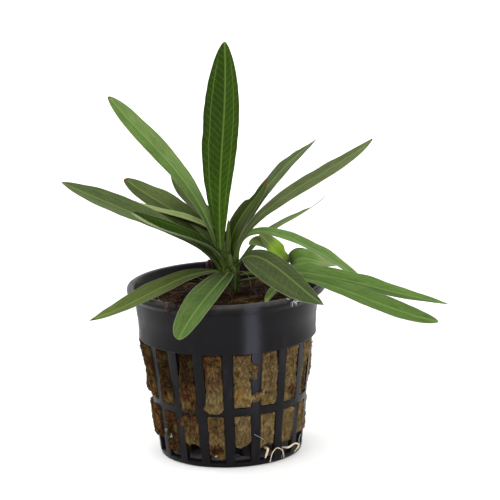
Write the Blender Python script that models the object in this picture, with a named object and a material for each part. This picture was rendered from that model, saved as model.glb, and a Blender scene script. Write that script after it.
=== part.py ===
"""A young sword plant in a slotted net pot.

The pot stands on the origin with its base on the floor, +Z is up, -Y faces the viewer and +X is to the
right. Lengths below are millimetres and angles are degrees; the meshes are made in metres.
"""

import math
from typing import NamedTuple

import bmesh
import bpy
from mathutils import Vector

MM = 0.001

# The net pot
POT_HEIGHT = 48.0
LIP_RADIUS = 27.75
BAND_TOP_RADIUS = 25.7
BAND_FOOT_RADIUS = 24.8
BAND_FOOT_HEIGHT = 33.3
RIB_TOP_RADIUS = 23.9
BAND_STEP_HEIGHT = 39.5
FOOT_RADIUS = 19.9
WALL = 1.2
FLOOR = 1.6
RIBS = 18
RIB_TURN = -0.3
RIB_HALF_ANGLE = 3.5
RING_FOOT = 15.2
RING_TOP = 17.4
DRAIN_INNER = 7.5
DRAIN_OUTER = 14.5

# The plug of mineral wool
GAP = 0.32
WOOL_FOOT = 3.4
WOOL_TOP = 45.0
WOOL_REST_RADIUS = 6.0
PAD_BULGE = 0.5

# The crown that the leaves grow from, and the small shoot beside it
CROWN_X = 1.0
CROWN_FOOT = WOOL_TOP + GAP
CROWN_TOP = 55.8
CROWN_RADIUS = 2.2
SHOOT_X = 17.2
SHOOT_Y = 5.0
SHOOT_TOP = 52.6
SHOOT_RADIUS = 1.2

# The leaves
LEAF_THICKNESS = 0.55
STALK_WIDTH = 1.5
STALK_THICKNESS = 0.9
LEAF_STATIONS = (0.0, 0.07, 0.16, 0.28, 0.42, 0.56, 0.7, 0.82, 0.91, 0.97)
TIP_HOLD = 0.38
ROOT_SIDES = 6


class Leaf(NamedTuple):
    """One leaf: how it grows from its stem, and the shape of its blade."""

    name: str
    heading: float  # the way it grows: 0 is right, 90 away from the viewer, 180 left
    start: float  # height of its foot above the pot's base
    reach: float  # level distance from foot to tip
    lift: float  # height of the tip above the foot
    rise: float  # slope at the foot
    fall: float  # slope at the tip
    width: float  # of the blade, edge to edge
    roll: float = 0.0  # turn about the midrib, the edge on the left of its heading up
    twist: float = 0.0  # further turn by the tip
    fold: float = 14.0  # how far each half is folded up
    bow: float = 0.0  # bend to the left of its heading
    lean: float = 0.0  # more of that bend, near the tip alone
    widest: float = 0.52  # where along the blade it is widest
    blunt: float = 0.75  # 0.5 is a round tip, 1 a pointed one
    foot_turn: float = 0.0  # foot's place round the stem, from the heading
    spring: float = 0.38  # how far it holds its first slope, as a share of its span
    stem: str = "crown"


LEAVES = (
    Leaf("leaf_upright", 66, 55.2, 6.5, 59.5, 86, 84, 11.3,
         bow=1.8, lean=-1.8, fold=8, widest=0.62, blunt=0.66, foot_turn=114),
    Leaf("leaf_upper_left", 160, 53.2, 32, 46.2, 79, 49, 7.4, roll=-26, widest=0.66, blunt=0.5, foot_turn=2),
    Leaf("leaf_behind_left", 137, 53.6, 23.5, 26.4, 68, 40, 6.0, foot_turn=-37),
    Leaf("leaf_short_left", 142, 49.6, 35, 23.6, 60, 22, 8.8, roll=-26, blunt=0.5, foot_turn=-4),
    Leaf("leaf_long_left", 180, 51.6, 43, 26.4, 58, 30, 9.0, roll=-12, twist=-34, blunt=0.8, foot_turn=16),
    Leaf("leaf_edge_left", 158, 51.8, 31, 18.6, 74, 18, 4.6, roll=36, foot_turn=-36),
    Leaf("leaf_trough_left", 205, 53.4, 26, 18, 50, 28, 6.0, fold=45, blunt=0.5, foot_turn=17),
    Leaf("leaf_back_right", 52, 53.0, 41, 28.4, 64, 18, 5.2, fold=8, widest=0.6, blunt=0.9, foot_turn=12),
    Leaf("leaf_brown_tip", 48, 54.8, 16.5, 19.2, 94, 44, 5.8,
         fold=8, widest=0.52, blunt=0.7, foot_turn=24, spring=0.4),
    Leaf("leaf_long_right", -20, 54.4, 40.5, 35.5, 68, 36, 5.0,
         roll=-45, fold=4, widest=0.66, blunt=0.7, foot_turn=8, spring=0.38),
    Leaf("leaf_thin_right", 40, 51.2, 34, 15.6, 50, 22, 3.0, blunt=1.0),
    Leaf("leaf_arching_right", 24, 51.6, 38.5, -8.4, 70, -42, 6.8,
         roll=30, widest=0.58, blunt=0.8, spring=0.5, foot_turn=-10),
    Leaf("leaf_lower_right", -4, 49.8, 58, -9.0, 9, -10, 6.5, roll=24, blunt=0.9),
    Leaf("leaf_lowest_right", -18, 48.0, 57, -8.4, 20, -9, 5.8,
         roll=0, twist=50, widest=0.68, blunt=0.6, foot_turn=-10),
    Leaf("leaf_broad_front", -44, 52.0, 32.8, -5.2, 42, -12, 9.0, roll=33, blunt=0.7, foot_turn=3),
    Leaf("leaf_over_rim", -112.5, 50.0, 34.5, -9.2, 10, -56, 9.8, bow=4.6, blunt=0.45, foot_turn=8),
    Leaf("leaf_front_left", 215, 50.8, 43.8, -5.7, 16, -6, 6.0, roll=-20, blunt=0.9, foot_turn=13),
    Leaf("leaf_short_front", -74, 49.4, 3.0, -3.2, 10, -80, 2.6, foot_turn=4),
    Leaf("leaf_bud", 62, 56.2, 0.6, 9.5, 86, 84, 2.0),
    Leaf("shoot_leaf_bright", 200, 51.4, 6.6, 7.6, 52, 50, 5.6, roll=-62, foot_turn=58, stem="shoot"),
    Leaf("shoot_leaf_curled", 196, 50.4, 9.4, 5.4, 76, -38, 4.6, roll=-52, foot_turn=-28, stem="shoot"),
    Leaf("shoot_leaf_light", -12, 51.0, 13.2, -0.6, 54, -30, 6.6, roll=62, fold=6, foot_turn=12, stem="shoot"),
    Leaf("shoot_leaf_front", -104, 46.8, 25, 0.2, 6, -6, 3.4, stem="shoot"),
)


def round_pot(radius, angle, height):
    """A point at an angle in degrees round the pot's axis."""
    turn = math.radians(angle)
    return Vector((radius * math.cos(turn), radius * math.sin(turn), height))


class Root(NamedTuple):
    """One root: the points that its middle runs through, and its thickness."""

    name: str
    radius: float
    points: tuple
    colour: str


ROOTS = (
    Root("root_over_rim", 0.8, ((-8.5, 2, 46.8), (-10, -8, 47.4), (-12.3, -18, 48.6), (-13.6, -24, 49.6),
                                (-15.6, -25.4, 48.8), (-16.2, -25.2, 46.0)), "root_brown"),
    Root("root_loop", 0.5, ((-2.6, -2.0, 46.4), (-4.4, -1.8, 48.8), (-5.0, -1.6, 51.6),
                            (-4.2, -1.6, 53.2), (-3.5, -1.6, 51.8)), "root_brown"),
    Root("root_arc", 0.25, ((3.4, -3.6, 50.8), (4.8, -5.0, 52.2), (6.4, -6.2, 51.2), (7.4, -6.8, 46.6)),
         "root_white"),
    Root("root_white_stub", 0.4, (round_pot(18.8, -63, 2.65), round_pot(21.1, -63, 2.6),
                                  round_pot(22.1, -63, 3.8), round_pot(22.2, -62.5, 5.4)), "root_white"),
    Root("root_white_loop", 0.3, (round_pot(18.8, -58, 2.65), round_pot(21.1, -58, 2.6),
                                  round_pot(21.6, -54.5, 4.0), round_pot(21.6, -50, 3.8),
                                  round_pot(21.4, -46, 1.2)), "root_white"),
    Root("root_white_thick", 0.45, (round_pot(18.8, -44, 2.65), round_pot(21.1, -44, 2.6),
                                    round_pot(22.0, -40, 3.9), round_pot(22.2, -35, 4.5),
                                    round_pot(22.2, -31, 3.8)), "root_white"),
)


def clear_scene():
    """Empties the scene of every object it opens with."""
    for item in list(bpy.data.objects):
        bpy.data.objects.remove(item, do_unlink=True)


def material(name, colour, roughness):
    """A Principled material, made once for each name."""
    made = bpy.data.materials.get(name)
    if made:
        return made
    made = bpy.data.materials.new(name)
    made.use_nodes = True
    shader = made.node_tree.nodes["Principled BSDF"]
    shader.inputs["Base Color"].default_value = (*colour, 1.0)
    shader.inputs["Roughness"].default_value = roughness
    shader.inputs["Metallic"].default_value = 0.0
    return made


FINISHES = {
    "black_plastic": ((0.020, 0.018, 0.022), 0.38),
    "wool": ((0.20, 0.14, 0.06), 0.95),
    "crown": ((0.10, 0.12, 0.04), 0.60),
    "leaf": ((0.09, 0.19, 0.03), 0.50),
    "young_leaf": ((0.28, 0.40, 0.05), 0.50),
    "root_brown": ((0.12, 0.035, 0.02), 0.80),
    "root_white": ((0.70, 0.62, 0.46), 0.70),
}


def add_solid(name, bm, finish):
    """Turns a bmesh in millimetres into a named, smooth-shaded object in metres."""
    bmesh.ops.scale(bm, vec=(MM, MM, MM), verts=bm.verts)
    bmesh.ops.recalc_face_normals(bm, faces=bm.faces)
    mesh = bpy.data.meshes.new(name)
    bm.to_mesh(mesh)
    bm.free()
    mesh.shade_smooth()
    mesh.set_sharp_from_angle(angle=math.radians(35))
    mesh.materials.append(material(finish, *FINISHES[finish]))
    solid = bpy.data.objects.new(name, mesh)
    bpy.context.collection.objects.link(solid)
    return solid


def blend(low, high, share):
    return low + (high - low) * share


def rib_radius(height):
    """Outer radius of the slotted wall, which widens evenly from the foot to the band."""
    return blend(FOOT_RADIUS, RIB_TOP_RADIUS, height / BAND_FOOT_HEIGHT)


def add_net_pot():
    """The pot, as one wall of cells: columns round the axis and rows from the floor's middle to the lip.
    A cell without material is a slot, and every edge between the two gets a face across the wall."""
    columns = []
    for rib in range(RIBS):
        middle = -90 + RIB_TURN + rib * 360 / RIBS
        columns += [middle - RIB_HALF_ANGLE, middle + RIB_HALF_ANGLE, middle + 180 / RIBS]
    inner_foot = FOOT_RADIUS - WALL
    rows = (
        # outer radius and height, then inner radius and height
        ((DRAIN_INNER, 0), (DRAIN_INNER, FLOOR)),
        ((DRAIN_OUTER, 0), (DRAIN_OUTER, FLOOR)),
        ((FOOT_RADIUS - 0.4, 0), (inner_foot - 0.6, FLOOR)),
        ((FOOT_RADIUS, 0.5), (inner_foot - 0.2, FLOOR + 0.2)),
        ((rib_radius(1.3), 1.3), (rib_radius(1.9) - WALL, 1.9)),
        ((rib_radius(RING_FOOT) - 0.15, RING_FOOT), (rib_radius(RING_FOOT) - WALL, RING_FOOT)),
        ((rib_radius(RING_TOP) - 0.15, RING_TOP), (rib_radius(RING_TOP) - WALL, RING_TOP)),
        ((RIB_TOP_RADIUS, BAND_FOOT_HEIGHT), (RIB_TOP_RADIUS - WALL, BAND_FOOT_HEIGHT)),
        ((BAND_FOOT_RADIUS, BAND_FOOT_HEIGHT + 0.2), (RIB_TOP_RADIUS - WALL + 0.2, BAND_FOOT_HEIGHT + 0.8)),
        ((BAND_FOOT_RADIUS + 0.25, BAND_STEP_HEIGHT), (BAND_TOP_RADIUS - WALL - 0.3, BAND_STEP_HEIGHT)),
        ((BAND_TOP_RADIUS, POT_HEIGHT - 3.4), (BAND_TOP_RADIUS - WALL, POT_HEIGHT - 3.4)),
        ((LIP_RADIUS, POT_HEIGHT - 1.7), (BAND_TOP_RADIUS - 0.6, POT_HEIGHT - 1.9)),
        ((LIP_RADIUS, POT_HEIGHT - 0.8), (LIP_RADIUS - 2.0, POT_HEIGHT - 0.9)),
        ((LIP_RADIUS - 0.7, POT_HEIGHT), (LIP_RADIUS - 1.7, POT_HEIGHT)),
    )
    drain_row, slot_rows = 0, (4, 6)

    def is_open(column, row):
        """Slots lie between the ribs; every second one has a drain below it in the floor."""
        if column % 3 == 0:
            return False
        return row in slot_rows or (row == drain_row and (column // 3) % 2 == 0)

    bm = bmesh.new()
    outer = [[bm.verts.new(round_pot(row[0][0], angle, row[0][1])) for angle in columns] for row in rows]
    inner = [[bm.verts.new(round_pot(row[1][0], angle, row[1][1])) for angle in columns] for row in rows]
    count = len(columns)
    for row in range(len(rows) - 1):
        for column in range(count):
            after = (column + 1) % count
            if is_open(column, row):
                continue
            bm.faces.new((outer[row][column], outer[row][after], outer[row + 1][after], outer[row + 1][column]))
            bm.faces.new((inner[row][column], inner[row + 1][column], inner[row + 1][after], inner[row][after]))
            if is_open((column - 1) % count, row):
                bm.faces.new((outer[row][column], outer[row + 1][column],
                              inner[row + 1][column], inner[row][column]))
            if is_open(after, row):
                bm.faces.new((outer[row][after], inner[row][after],
                              inner[row + 1][after], outer[row + 1][after]))
            if row > 0 and is_open(column, row - 1):
                bm.faces.new((outer[row][column], inner[row][column], inner[row][after], outer[row][after]))
            if row + 2 < len(rows) and is_open(column, row + 1):
                bm.faces.new((outer[row + 1][column], outer[row + 1][after],
                              inner[row + 1][after], inner[row + 1][column]))
    for column in range(count):
        after = (column + 1) % count
        bm.faces.new((outer[-1][column], outer[-1][after], inner[-1][after], inner[-1][column]))
    bm.faces.new(list(reversed(outer[0])))
    bm.faces.new(inner[0])
    # the edge of a drain next to the floor's middle has no row before it
    for column in range(count):
        after = (column + 1) % count
        if is_open(column, drain_row):
            bm.faces.new((outer[0][column], outer[0][after], inner[0][after], inner[0][column]))
    add_solid("net_pot", bm, "black_plastic")


def wool_swell(angle, height):
    """How far the wool stands out of a slot, lumpy round the pot and fuller on the right."""
    turn = math.radians(angle)
    lumps = 0.35 * math.sin(5 * turn + 0.31 * height) + 0.25 * math.sin(11 * turn - 0.5 * height + 1.0)
    return PAD_BULGE + lumps - 0.3 * math.cos(turn)


def wool_top(angle, radius):
    """Height of the wool's upper side: level under the crown, lower towards the left wall."""
    turn = math.radians(angle)
    out = max(0.0, radius - WOOL_REST_RADIUS) / (BAND_TOP_RADIUS - WOOL_REST_RADIUS)
    return WOOL_TOP + out * (1.4 * math.cos(turn + 0.9) - 0.6 + 0.5 * math.sin(3 * turn))


def add_wool_plug():
    """The wool, which fills the pot and swells through its slots."""
    rib_clear, pad_edge = RIB_HALF_ANGLE + 0.9, RIB_HALF_ANGLE + 1.2
    columns = []
    for rib in range(RIBS):
        middle = -90 + RIB_TURN + rib * 360 / RIBS
        columns += [(middle - rib_clear, False), (middle + rib_clear, False), (middle + pad_edge, True),
                    (middle + 360 / RIBS - pad_edge, True)]
    ring_low, ring_high = RING_FOOT - GAP, RING_TOP + GAP
    slot_top = BAND_FOOT_HEIGHT - GAP
    rows = ((WOOL_FOOT, None), (WOOL_FOOT + 0.9, True), (8.5, True), (ring_low - 0.3, True), (ring_low, False),
            (ring_high, False), (ring_high + 0.3, True), (22.5, True), (28.0, True), (slot_top - 0.4, True),
            (slot_top, False), (None, False))
    bm = bmesh.new()
    rings = []
    for height, swells in rows:
        ring = []
        for angle, in_slot in columns:
            if height is None:
                radius = BAND_TOP_RADIUS - WALL - 0.9
                ring.append(bm.verts.new(round_pot(radius, angle, wool_top(angle, radius))))
                continue
            radius = rib_radius(height) - WALL - GAP
            if swells is None:
                radius -= 1.2
            elif swells and in_slot:
                radius = rib_radius(height) + wool_swell(angle, height)
            ring.append(bm.verts.new(round_pot(radius, angle, height)))
        rings.append(ring)
    for radius in (16.0, WOOL_REST_RADIUS):
        rings.append([bm.verts.new(round_pot(radius, angle, wool_top(angle, radius))) for angle, _ in columns])
    count = len(columns)
    for lower, upper in zip(rings, rings[1:]):
        for column in range(count):
            after = (column + 1) % count
            bm.faces.new((lower[column], lower[after], upper[after], upper[column]))
    bm.faces.new(list(reversed(rings[0])))
    bm.faces.new(rings[-1])
    add_solid("wool_plug", bm, "wool")


def turned(rings, axis_x, axis_y, sides=12):
    """A closed turned body from (radius, height) pairs, bottom to top."""
    bm = bmesh.new()
    loops = []
    for radius, height in rings:
        loops.append([bm.verts.new(round_pot(radius, 360 * k / sides, height) + Vector((axis_x, axis_y, 0)))
                      for k in range(sides)])
    for lower, upper in zip(loops, loops[1:]):
        for k in range(sides):
            bm.faces.new((lower[k], lower[(k + 1) % sides], upper[(k + 1) % sides], upper[k]))
    bm.faces.new(list(reversed(loops[0])))
    bm.faces.new(loops[-1])
    return bm


def crown_radius(height):
    """The crown narrows from its foot in the wool to the growing tip."""
    share = (height - CROWN_FOOT) / (CROWN_TOP - CROWN_FOOT)
    return CROWN_RADIUS * math.sqrt(1 - 0.85 * share**2)


def add_stems():
    """The crown, and the little stem of the side shoot."""
    heights = [blend(CROWN_FOOT, CROWN_TOP, k / 6) for k in range(7)]
    bm = turned([(crown_radius(z), z) for z in heights], CROWN_X, 0)
    add_solid("crown", bm, "crown")
    shoot = [(SHOOT_RADIUS, CROWN_FOOT + 0.6), (SHOOT_RADIUS * 0.8, 48.5), (SHOOT_RADIUS * 0.45, SHOOT_TOP)]
    add_solid("shoot_stem", turned(shoot, SHOOT_X, SHOOT_Y, sides=10), "crown")


def leaf_curve(leaf):
    """The midrib as four control points: foot, the pull at the foot, the pull at the tip, tip."""
    heading = Vector((math.cos(math.radians(leaf.heading)), math.sin(math.radians(leaf.heading)), 0))
    across = Vector((-heading.y, heading.x, 0))
    foot_angle = leaf.heading + leaf.foot_turn
    if leaf.start > CROWN_TOP:
        foot = Vector((CROWN_X, 0, leaf.start))
    elif leaf.stem == "crown":
        foot = round_pot(crown_radius(leaf.start) + GAP + STALK_THICKNESS / 2, foot_angle, leaf.start)
        foot.x += CROWN_X
    else:
        foot = round_pot(SHOOT_RADIUS + GAP + STALK_THICKNESS / 2, foot_angle, leaf.start)
        foot += Vector((SHOOT_X, SHOOT_Y, 0))
    up = Vector((0, 0, 1))
    tip = foot + heading * leaf.reach + up * leaf.lift
    span = (tip - foot).length
    rise, fall = math.radians(leaf.rise), math.radians(leaf.fall)
    near = foot + (heading * math.cos(rise) + up * math.sin(rise)) * (leaf.spring * span) + across * leaf.bow * 2
    far = tip - (heading * math.cos(fall) + up * math.sin(fall)) * (TIP_HOLD * span) 
    far += across * (leaf.bow * 0.7 + leaf.lean)
    return foot, near, far, tip, across


def on_curve(curve, t):
    """Point and direction on the midrib at t, from 0 at the foot to 1 at the tip."""
    a, b, c, d = curve[:4]
    s = 1 - t
    point = a * s**3 + b * (3 * s * s * t) + c * (3 * s * t * t) + d * t**3
    along = (b - a) * (3 * s * s) + (c - b) * (6 * s * t) + (d - c) * (3 * t * t)
    return point, along.normalized()


def blade_half_width(leaf, t):
    """Half the leaf's width at t: a narrow stalk that widens into a lance-shaped blade."""
    tail = leaf.blunt * leaf.widest / (1 - leaf.widest)
    peak = leaf.widest**tail * (1 - leaf.widest) ** leaf.blunt
    blade = leaf.width / 2 * (t**tail * (1 - t) ** leaf.blunt) / peak
    stalk = STALK_WIDTH / 2 * (1 - t)
    return math.hypot(blade, stalk)


def leaf_section(leaf, curve, t):
    """Eight points round the leaf at t: five across the top, then three back underneath."""
    point, along = on_curve(curve, t)
    side = (curve[4] - along * curve[4].dot(along)).normalized()
    normal = along.cross(side)
    roll = math.radians(leaf.roll + leaf.twist * t)
    side, normal = (side * math.cos(roll) + normal * math.sin(roll),
                    normal * math.cos(roll) - side * math.sin(roll))
    half = blade_half_width(leaf, t)
    thick = blend(STALK_THICKNESS, LEAF_THICKNESS, min(1.0, t * 4)) * (1 - 0.5 * t)
    lift = math.tan(math.radians(leaf.fold))
    points = []
    for u, face in ((-1, 0), (-0.5, 1), (0, 1), (0.5, 1), (1, 0), (0.5, -1), (0, -1), (-0.5, -1)):
        rise = half * abs(u) * lift + face * thick / 2
        points.append(point + side * (u * half) + normal * rise)
    return points


def add_leaf(leaf):
    """One leaf, lofted along its midrib and closed at foot and tip."""
    curve = leaf_curve(leaf)
    bm = bmesh.new()
    rings = [[bm.verts.new(p) for p in leaf_section(leaf, curve, t)] for t in LEAF_STATIONS]
    tip = bm.verts.new(on_curve(curve, 1.0)[0])
    for near, far in zip(rings, rings[1:]):
        for k in range(8):
            bm.faces.new((near[k], near[(k + 1) % 8], far[(k + 1) % 8], far[k]))
    bm.faces.new(list(reversed(rings[0])))
    for k in range(8):
        bm.faces.new((rings[-1][k], rings[-1][(k + 1) % 8], tip))
    bmesh.ops.triangulate(bm, faces=bm.faces)
    add_solid(leaf.name, bm, "young_leaf" if leaf.stem == "shoot" else "leaf")


def add_root(root):
    """A root as a round tube on a smooth line through its points."""
    path = smooth_line([Vector(p) for p in root.points], 3)
    bm = bmesh.new()
    rings = []
    side = Vector((0.3, 1, 0.2))
    for k, point in enumerate(path):
        along = path[min(k + 1, len(path) - 1)] - path[max(k - 1, 0)]
        side = (side - along * (side.dot(along) / along.length_squared)).normalized()
        out = along.normalized().cross(side)
        rings.append([bm.verts.new(point + (side * math.cos(turn) + out * math.sin(turn)) * root.radius)
                      for turn in [math.tau * j / ROOT_SIDES for j in range(ROOT_SIDES)]])
    for near, far in zip(rings, rings[1:]):
        for j in range(ROOT_SIDES):
            bm.faces.new((near[j], near[(j + 1) % ROOT_SIDES], far[(j + 1) % ROOT_SIDES], far[j]))
    bm.faces.new(list(reversed(rings[0])))
    bm.faces.new(rings[-1])
    add_solid(root.name, bm, root.colour)


def smooth_line(points, steps):
    """Points on a Catmull-Rom curve through the given ones, with steps to each stretch."""
    padded = [points[0] * 2 - points[1], *points, points[-1] * 2 - points[-2]]
    path = []
    for a, b, c, d in zip(padded, padded[1:], padded[2:], padded[3:]):
        for k in range(steps):
            t = k / steps
            path.append(0.5 * (b * 2 + (c - a) * t + (a * 2 - b * 5 + c * 4 - d) * t * t
                               + (b * 3 - a - c * 3 + d) * t**3))
    return [*path, points[-1]]


def main():
    clear_scene()
    add_net_pot()
    add_wool_plug()
    add_stems()
    for leaf in LEAVES:
        add_leaf(leaf)
    for root in ROOTS:
        add_root(root)


main()
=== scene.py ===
"""A young sword plant in a slotted net pot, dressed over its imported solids.

The pot stands on the origin, +Z is up, -Y faces the viewer and +X is to the right. Lengths in the tables
and functions below are millimetres and angles are degrees; meshes are made in metres.
"""

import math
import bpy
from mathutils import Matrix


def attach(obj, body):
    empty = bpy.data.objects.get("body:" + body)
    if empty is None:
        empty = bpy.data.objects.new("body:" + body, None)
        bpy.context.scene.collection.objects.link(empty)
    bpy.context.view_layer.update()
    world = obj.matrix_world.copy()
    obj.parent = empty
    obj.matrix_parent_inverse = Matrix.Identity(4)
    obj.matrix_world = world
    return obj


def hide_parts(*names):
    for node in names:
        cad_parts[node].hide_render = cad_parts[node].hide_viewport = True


bl_info = {
    "name": "Potted sword plant",
    "version": (1, 0, 0),
    "blender": (4, 5, 0),
    "location": "3D View > Sidebar > Sword plant",
    "description": "Dresses a young sword plant in its net pot, and sets a plain studio stage",
    "category": "Add Mesh",
}

from typing import NamedTuple

import bpy
import numpy as np
from bpy.props import FloatProperty, FloatVectorProperty, IntProperty, PointerProperty
from mathutils import Matrix, Vector, noise

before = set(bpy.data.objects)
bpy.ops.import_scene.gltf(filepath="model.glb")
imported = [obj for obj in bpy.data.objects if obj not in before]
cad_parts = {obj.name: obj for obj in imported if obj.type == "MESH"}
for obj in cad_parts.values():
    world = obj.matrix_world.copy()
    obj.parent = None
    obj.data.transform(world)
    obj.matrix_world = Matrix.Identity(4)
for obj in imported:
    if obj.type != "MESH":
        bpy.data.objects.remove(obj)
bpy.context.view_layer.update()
MM = 0.001

# The net pot
POT_HEIGHT = 48.0
LIP_RADIUS = 27.75
BAND_TOP_RADIUS = 25.7
BAND_FOOT_RADIUS = 24.8
BAND_FOOT_HEIGHT = 33.3
RIB_TOP_RADIUS = 23.9
BAND_STEP_HEIGHT = 39.5
FOOT_RADIUS = 19.9
WALL = 1.2
FLOOR = 1.6
RIBS = 18
RIB_TURN = -0.3
RIB_HALF_ANGLE = 3.5
RING_FOOT = 15.2
RING_TOP = 17.4
DRAIN_INNER = 7.5
DRAIN_OUTER = 14.5

SLOT_PITCH = 360 / RIBS

# The plug of mineral wool
GAP = 0.32
WOOL_TOP = 45.0
WOOL_REST_RADIUS = 6.0
PAD_BULGE = 0.5

# The crown, and the small shoot beside it
CROWN_X = 1.0
CROWN_FOOT = WOOL_TOP + GAP
CROWN_TOP = 55.8
CROWN_RADIUS = 2.2
SHOOT_X = 17.2
SHOOT_Y = 5.0
SHOOT_TOP = 52.6
SHOOT_RADIUS = 1.2

# The leaves
LEAF_THICKNESS = 0.55
STALK_WIDTH = 1.5
STALK_THICKNESS = 0.9
TIP_HOLD = 0.38


class Leaf(NamedTuple):
    """One leaf: how it grows from its stem, the shape of its blade, and its colours."""

    name: str
    heading: float  # the way it grows: 0 is right, 90 away from the viewer, 180 left
    start: float  # height of its foot above the pot's base
    reach: float  # level distance from foot to tip
    lift: float  # height of the tip above the foot
    rise: float  # slope at the foot
    fall: float  # slope at the tip
    width: float  # of the blade, edge to edge
    roll: float = 0.0  # turn about the midrib, the edge on the left of its heading up
    twist: float = 0.0  # further turn by the tip
    fold: float = 14.0  # how far each half is folded up
    bow: float = 0.0  # bend to the left of its heading
    lean: float = 0.0  # more of that bend, near the tip alone
    widest: float = 0.52  # where along the blade it is widest
    blunt: float = 0.75  # 0.5 is a round tip, 1 a pointed one
    foot_turn: float = 0.0  # foot's place round the stem, from the heading
    spring: float = 0.38  # how far it holds its first slope, as a share of its span
    stem: str = "crown"
    top: str = "fresh"  # colour of the upper side
    under: str = "olive"  # colour of the underside
    light: float = 1.0  # how light those two are: partly the leaf's own tone, partly painted light and shade for where it stands
    browned: float = 0.0  # share of its length that has browned, from the tip
    veins: float = 0.4  # how plain the veins show
    pale_edge: float = 0.25  # how pale the margin is
    wavy: float = 0.2  # height of the margin's waves
    right_half_painted_light: float = 1.0  # how light the right half is painted beside the left one: painted light above 1, painted shade below 1
    uneven: float = 0.0  # how much wider the left half is, as a share
    stalk: float = 0.0  # share of its length that is bare stalk
    foot_width: float = 2.4  # where it leaves the stem
    notch: tuple = ()  # step in the left margin: where it is, and the share of the half that is lost
    wiry: float = 0.0  # share of its length that is thin as wire
    foot_painted_light: float = 0.8  # how light it is painted near its foot beside the rest: painted shade from the crown and the leaves over it below 1, painted light above 1
    foot_share: float = 0.6  # how far up its length that fades away
    far: str = ""  # colour of its outer third, where that is another one
    painted_sheen: float = 0.0  # how far the right half is painted grey, as a painted sheen where it catches the soft light


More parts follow.
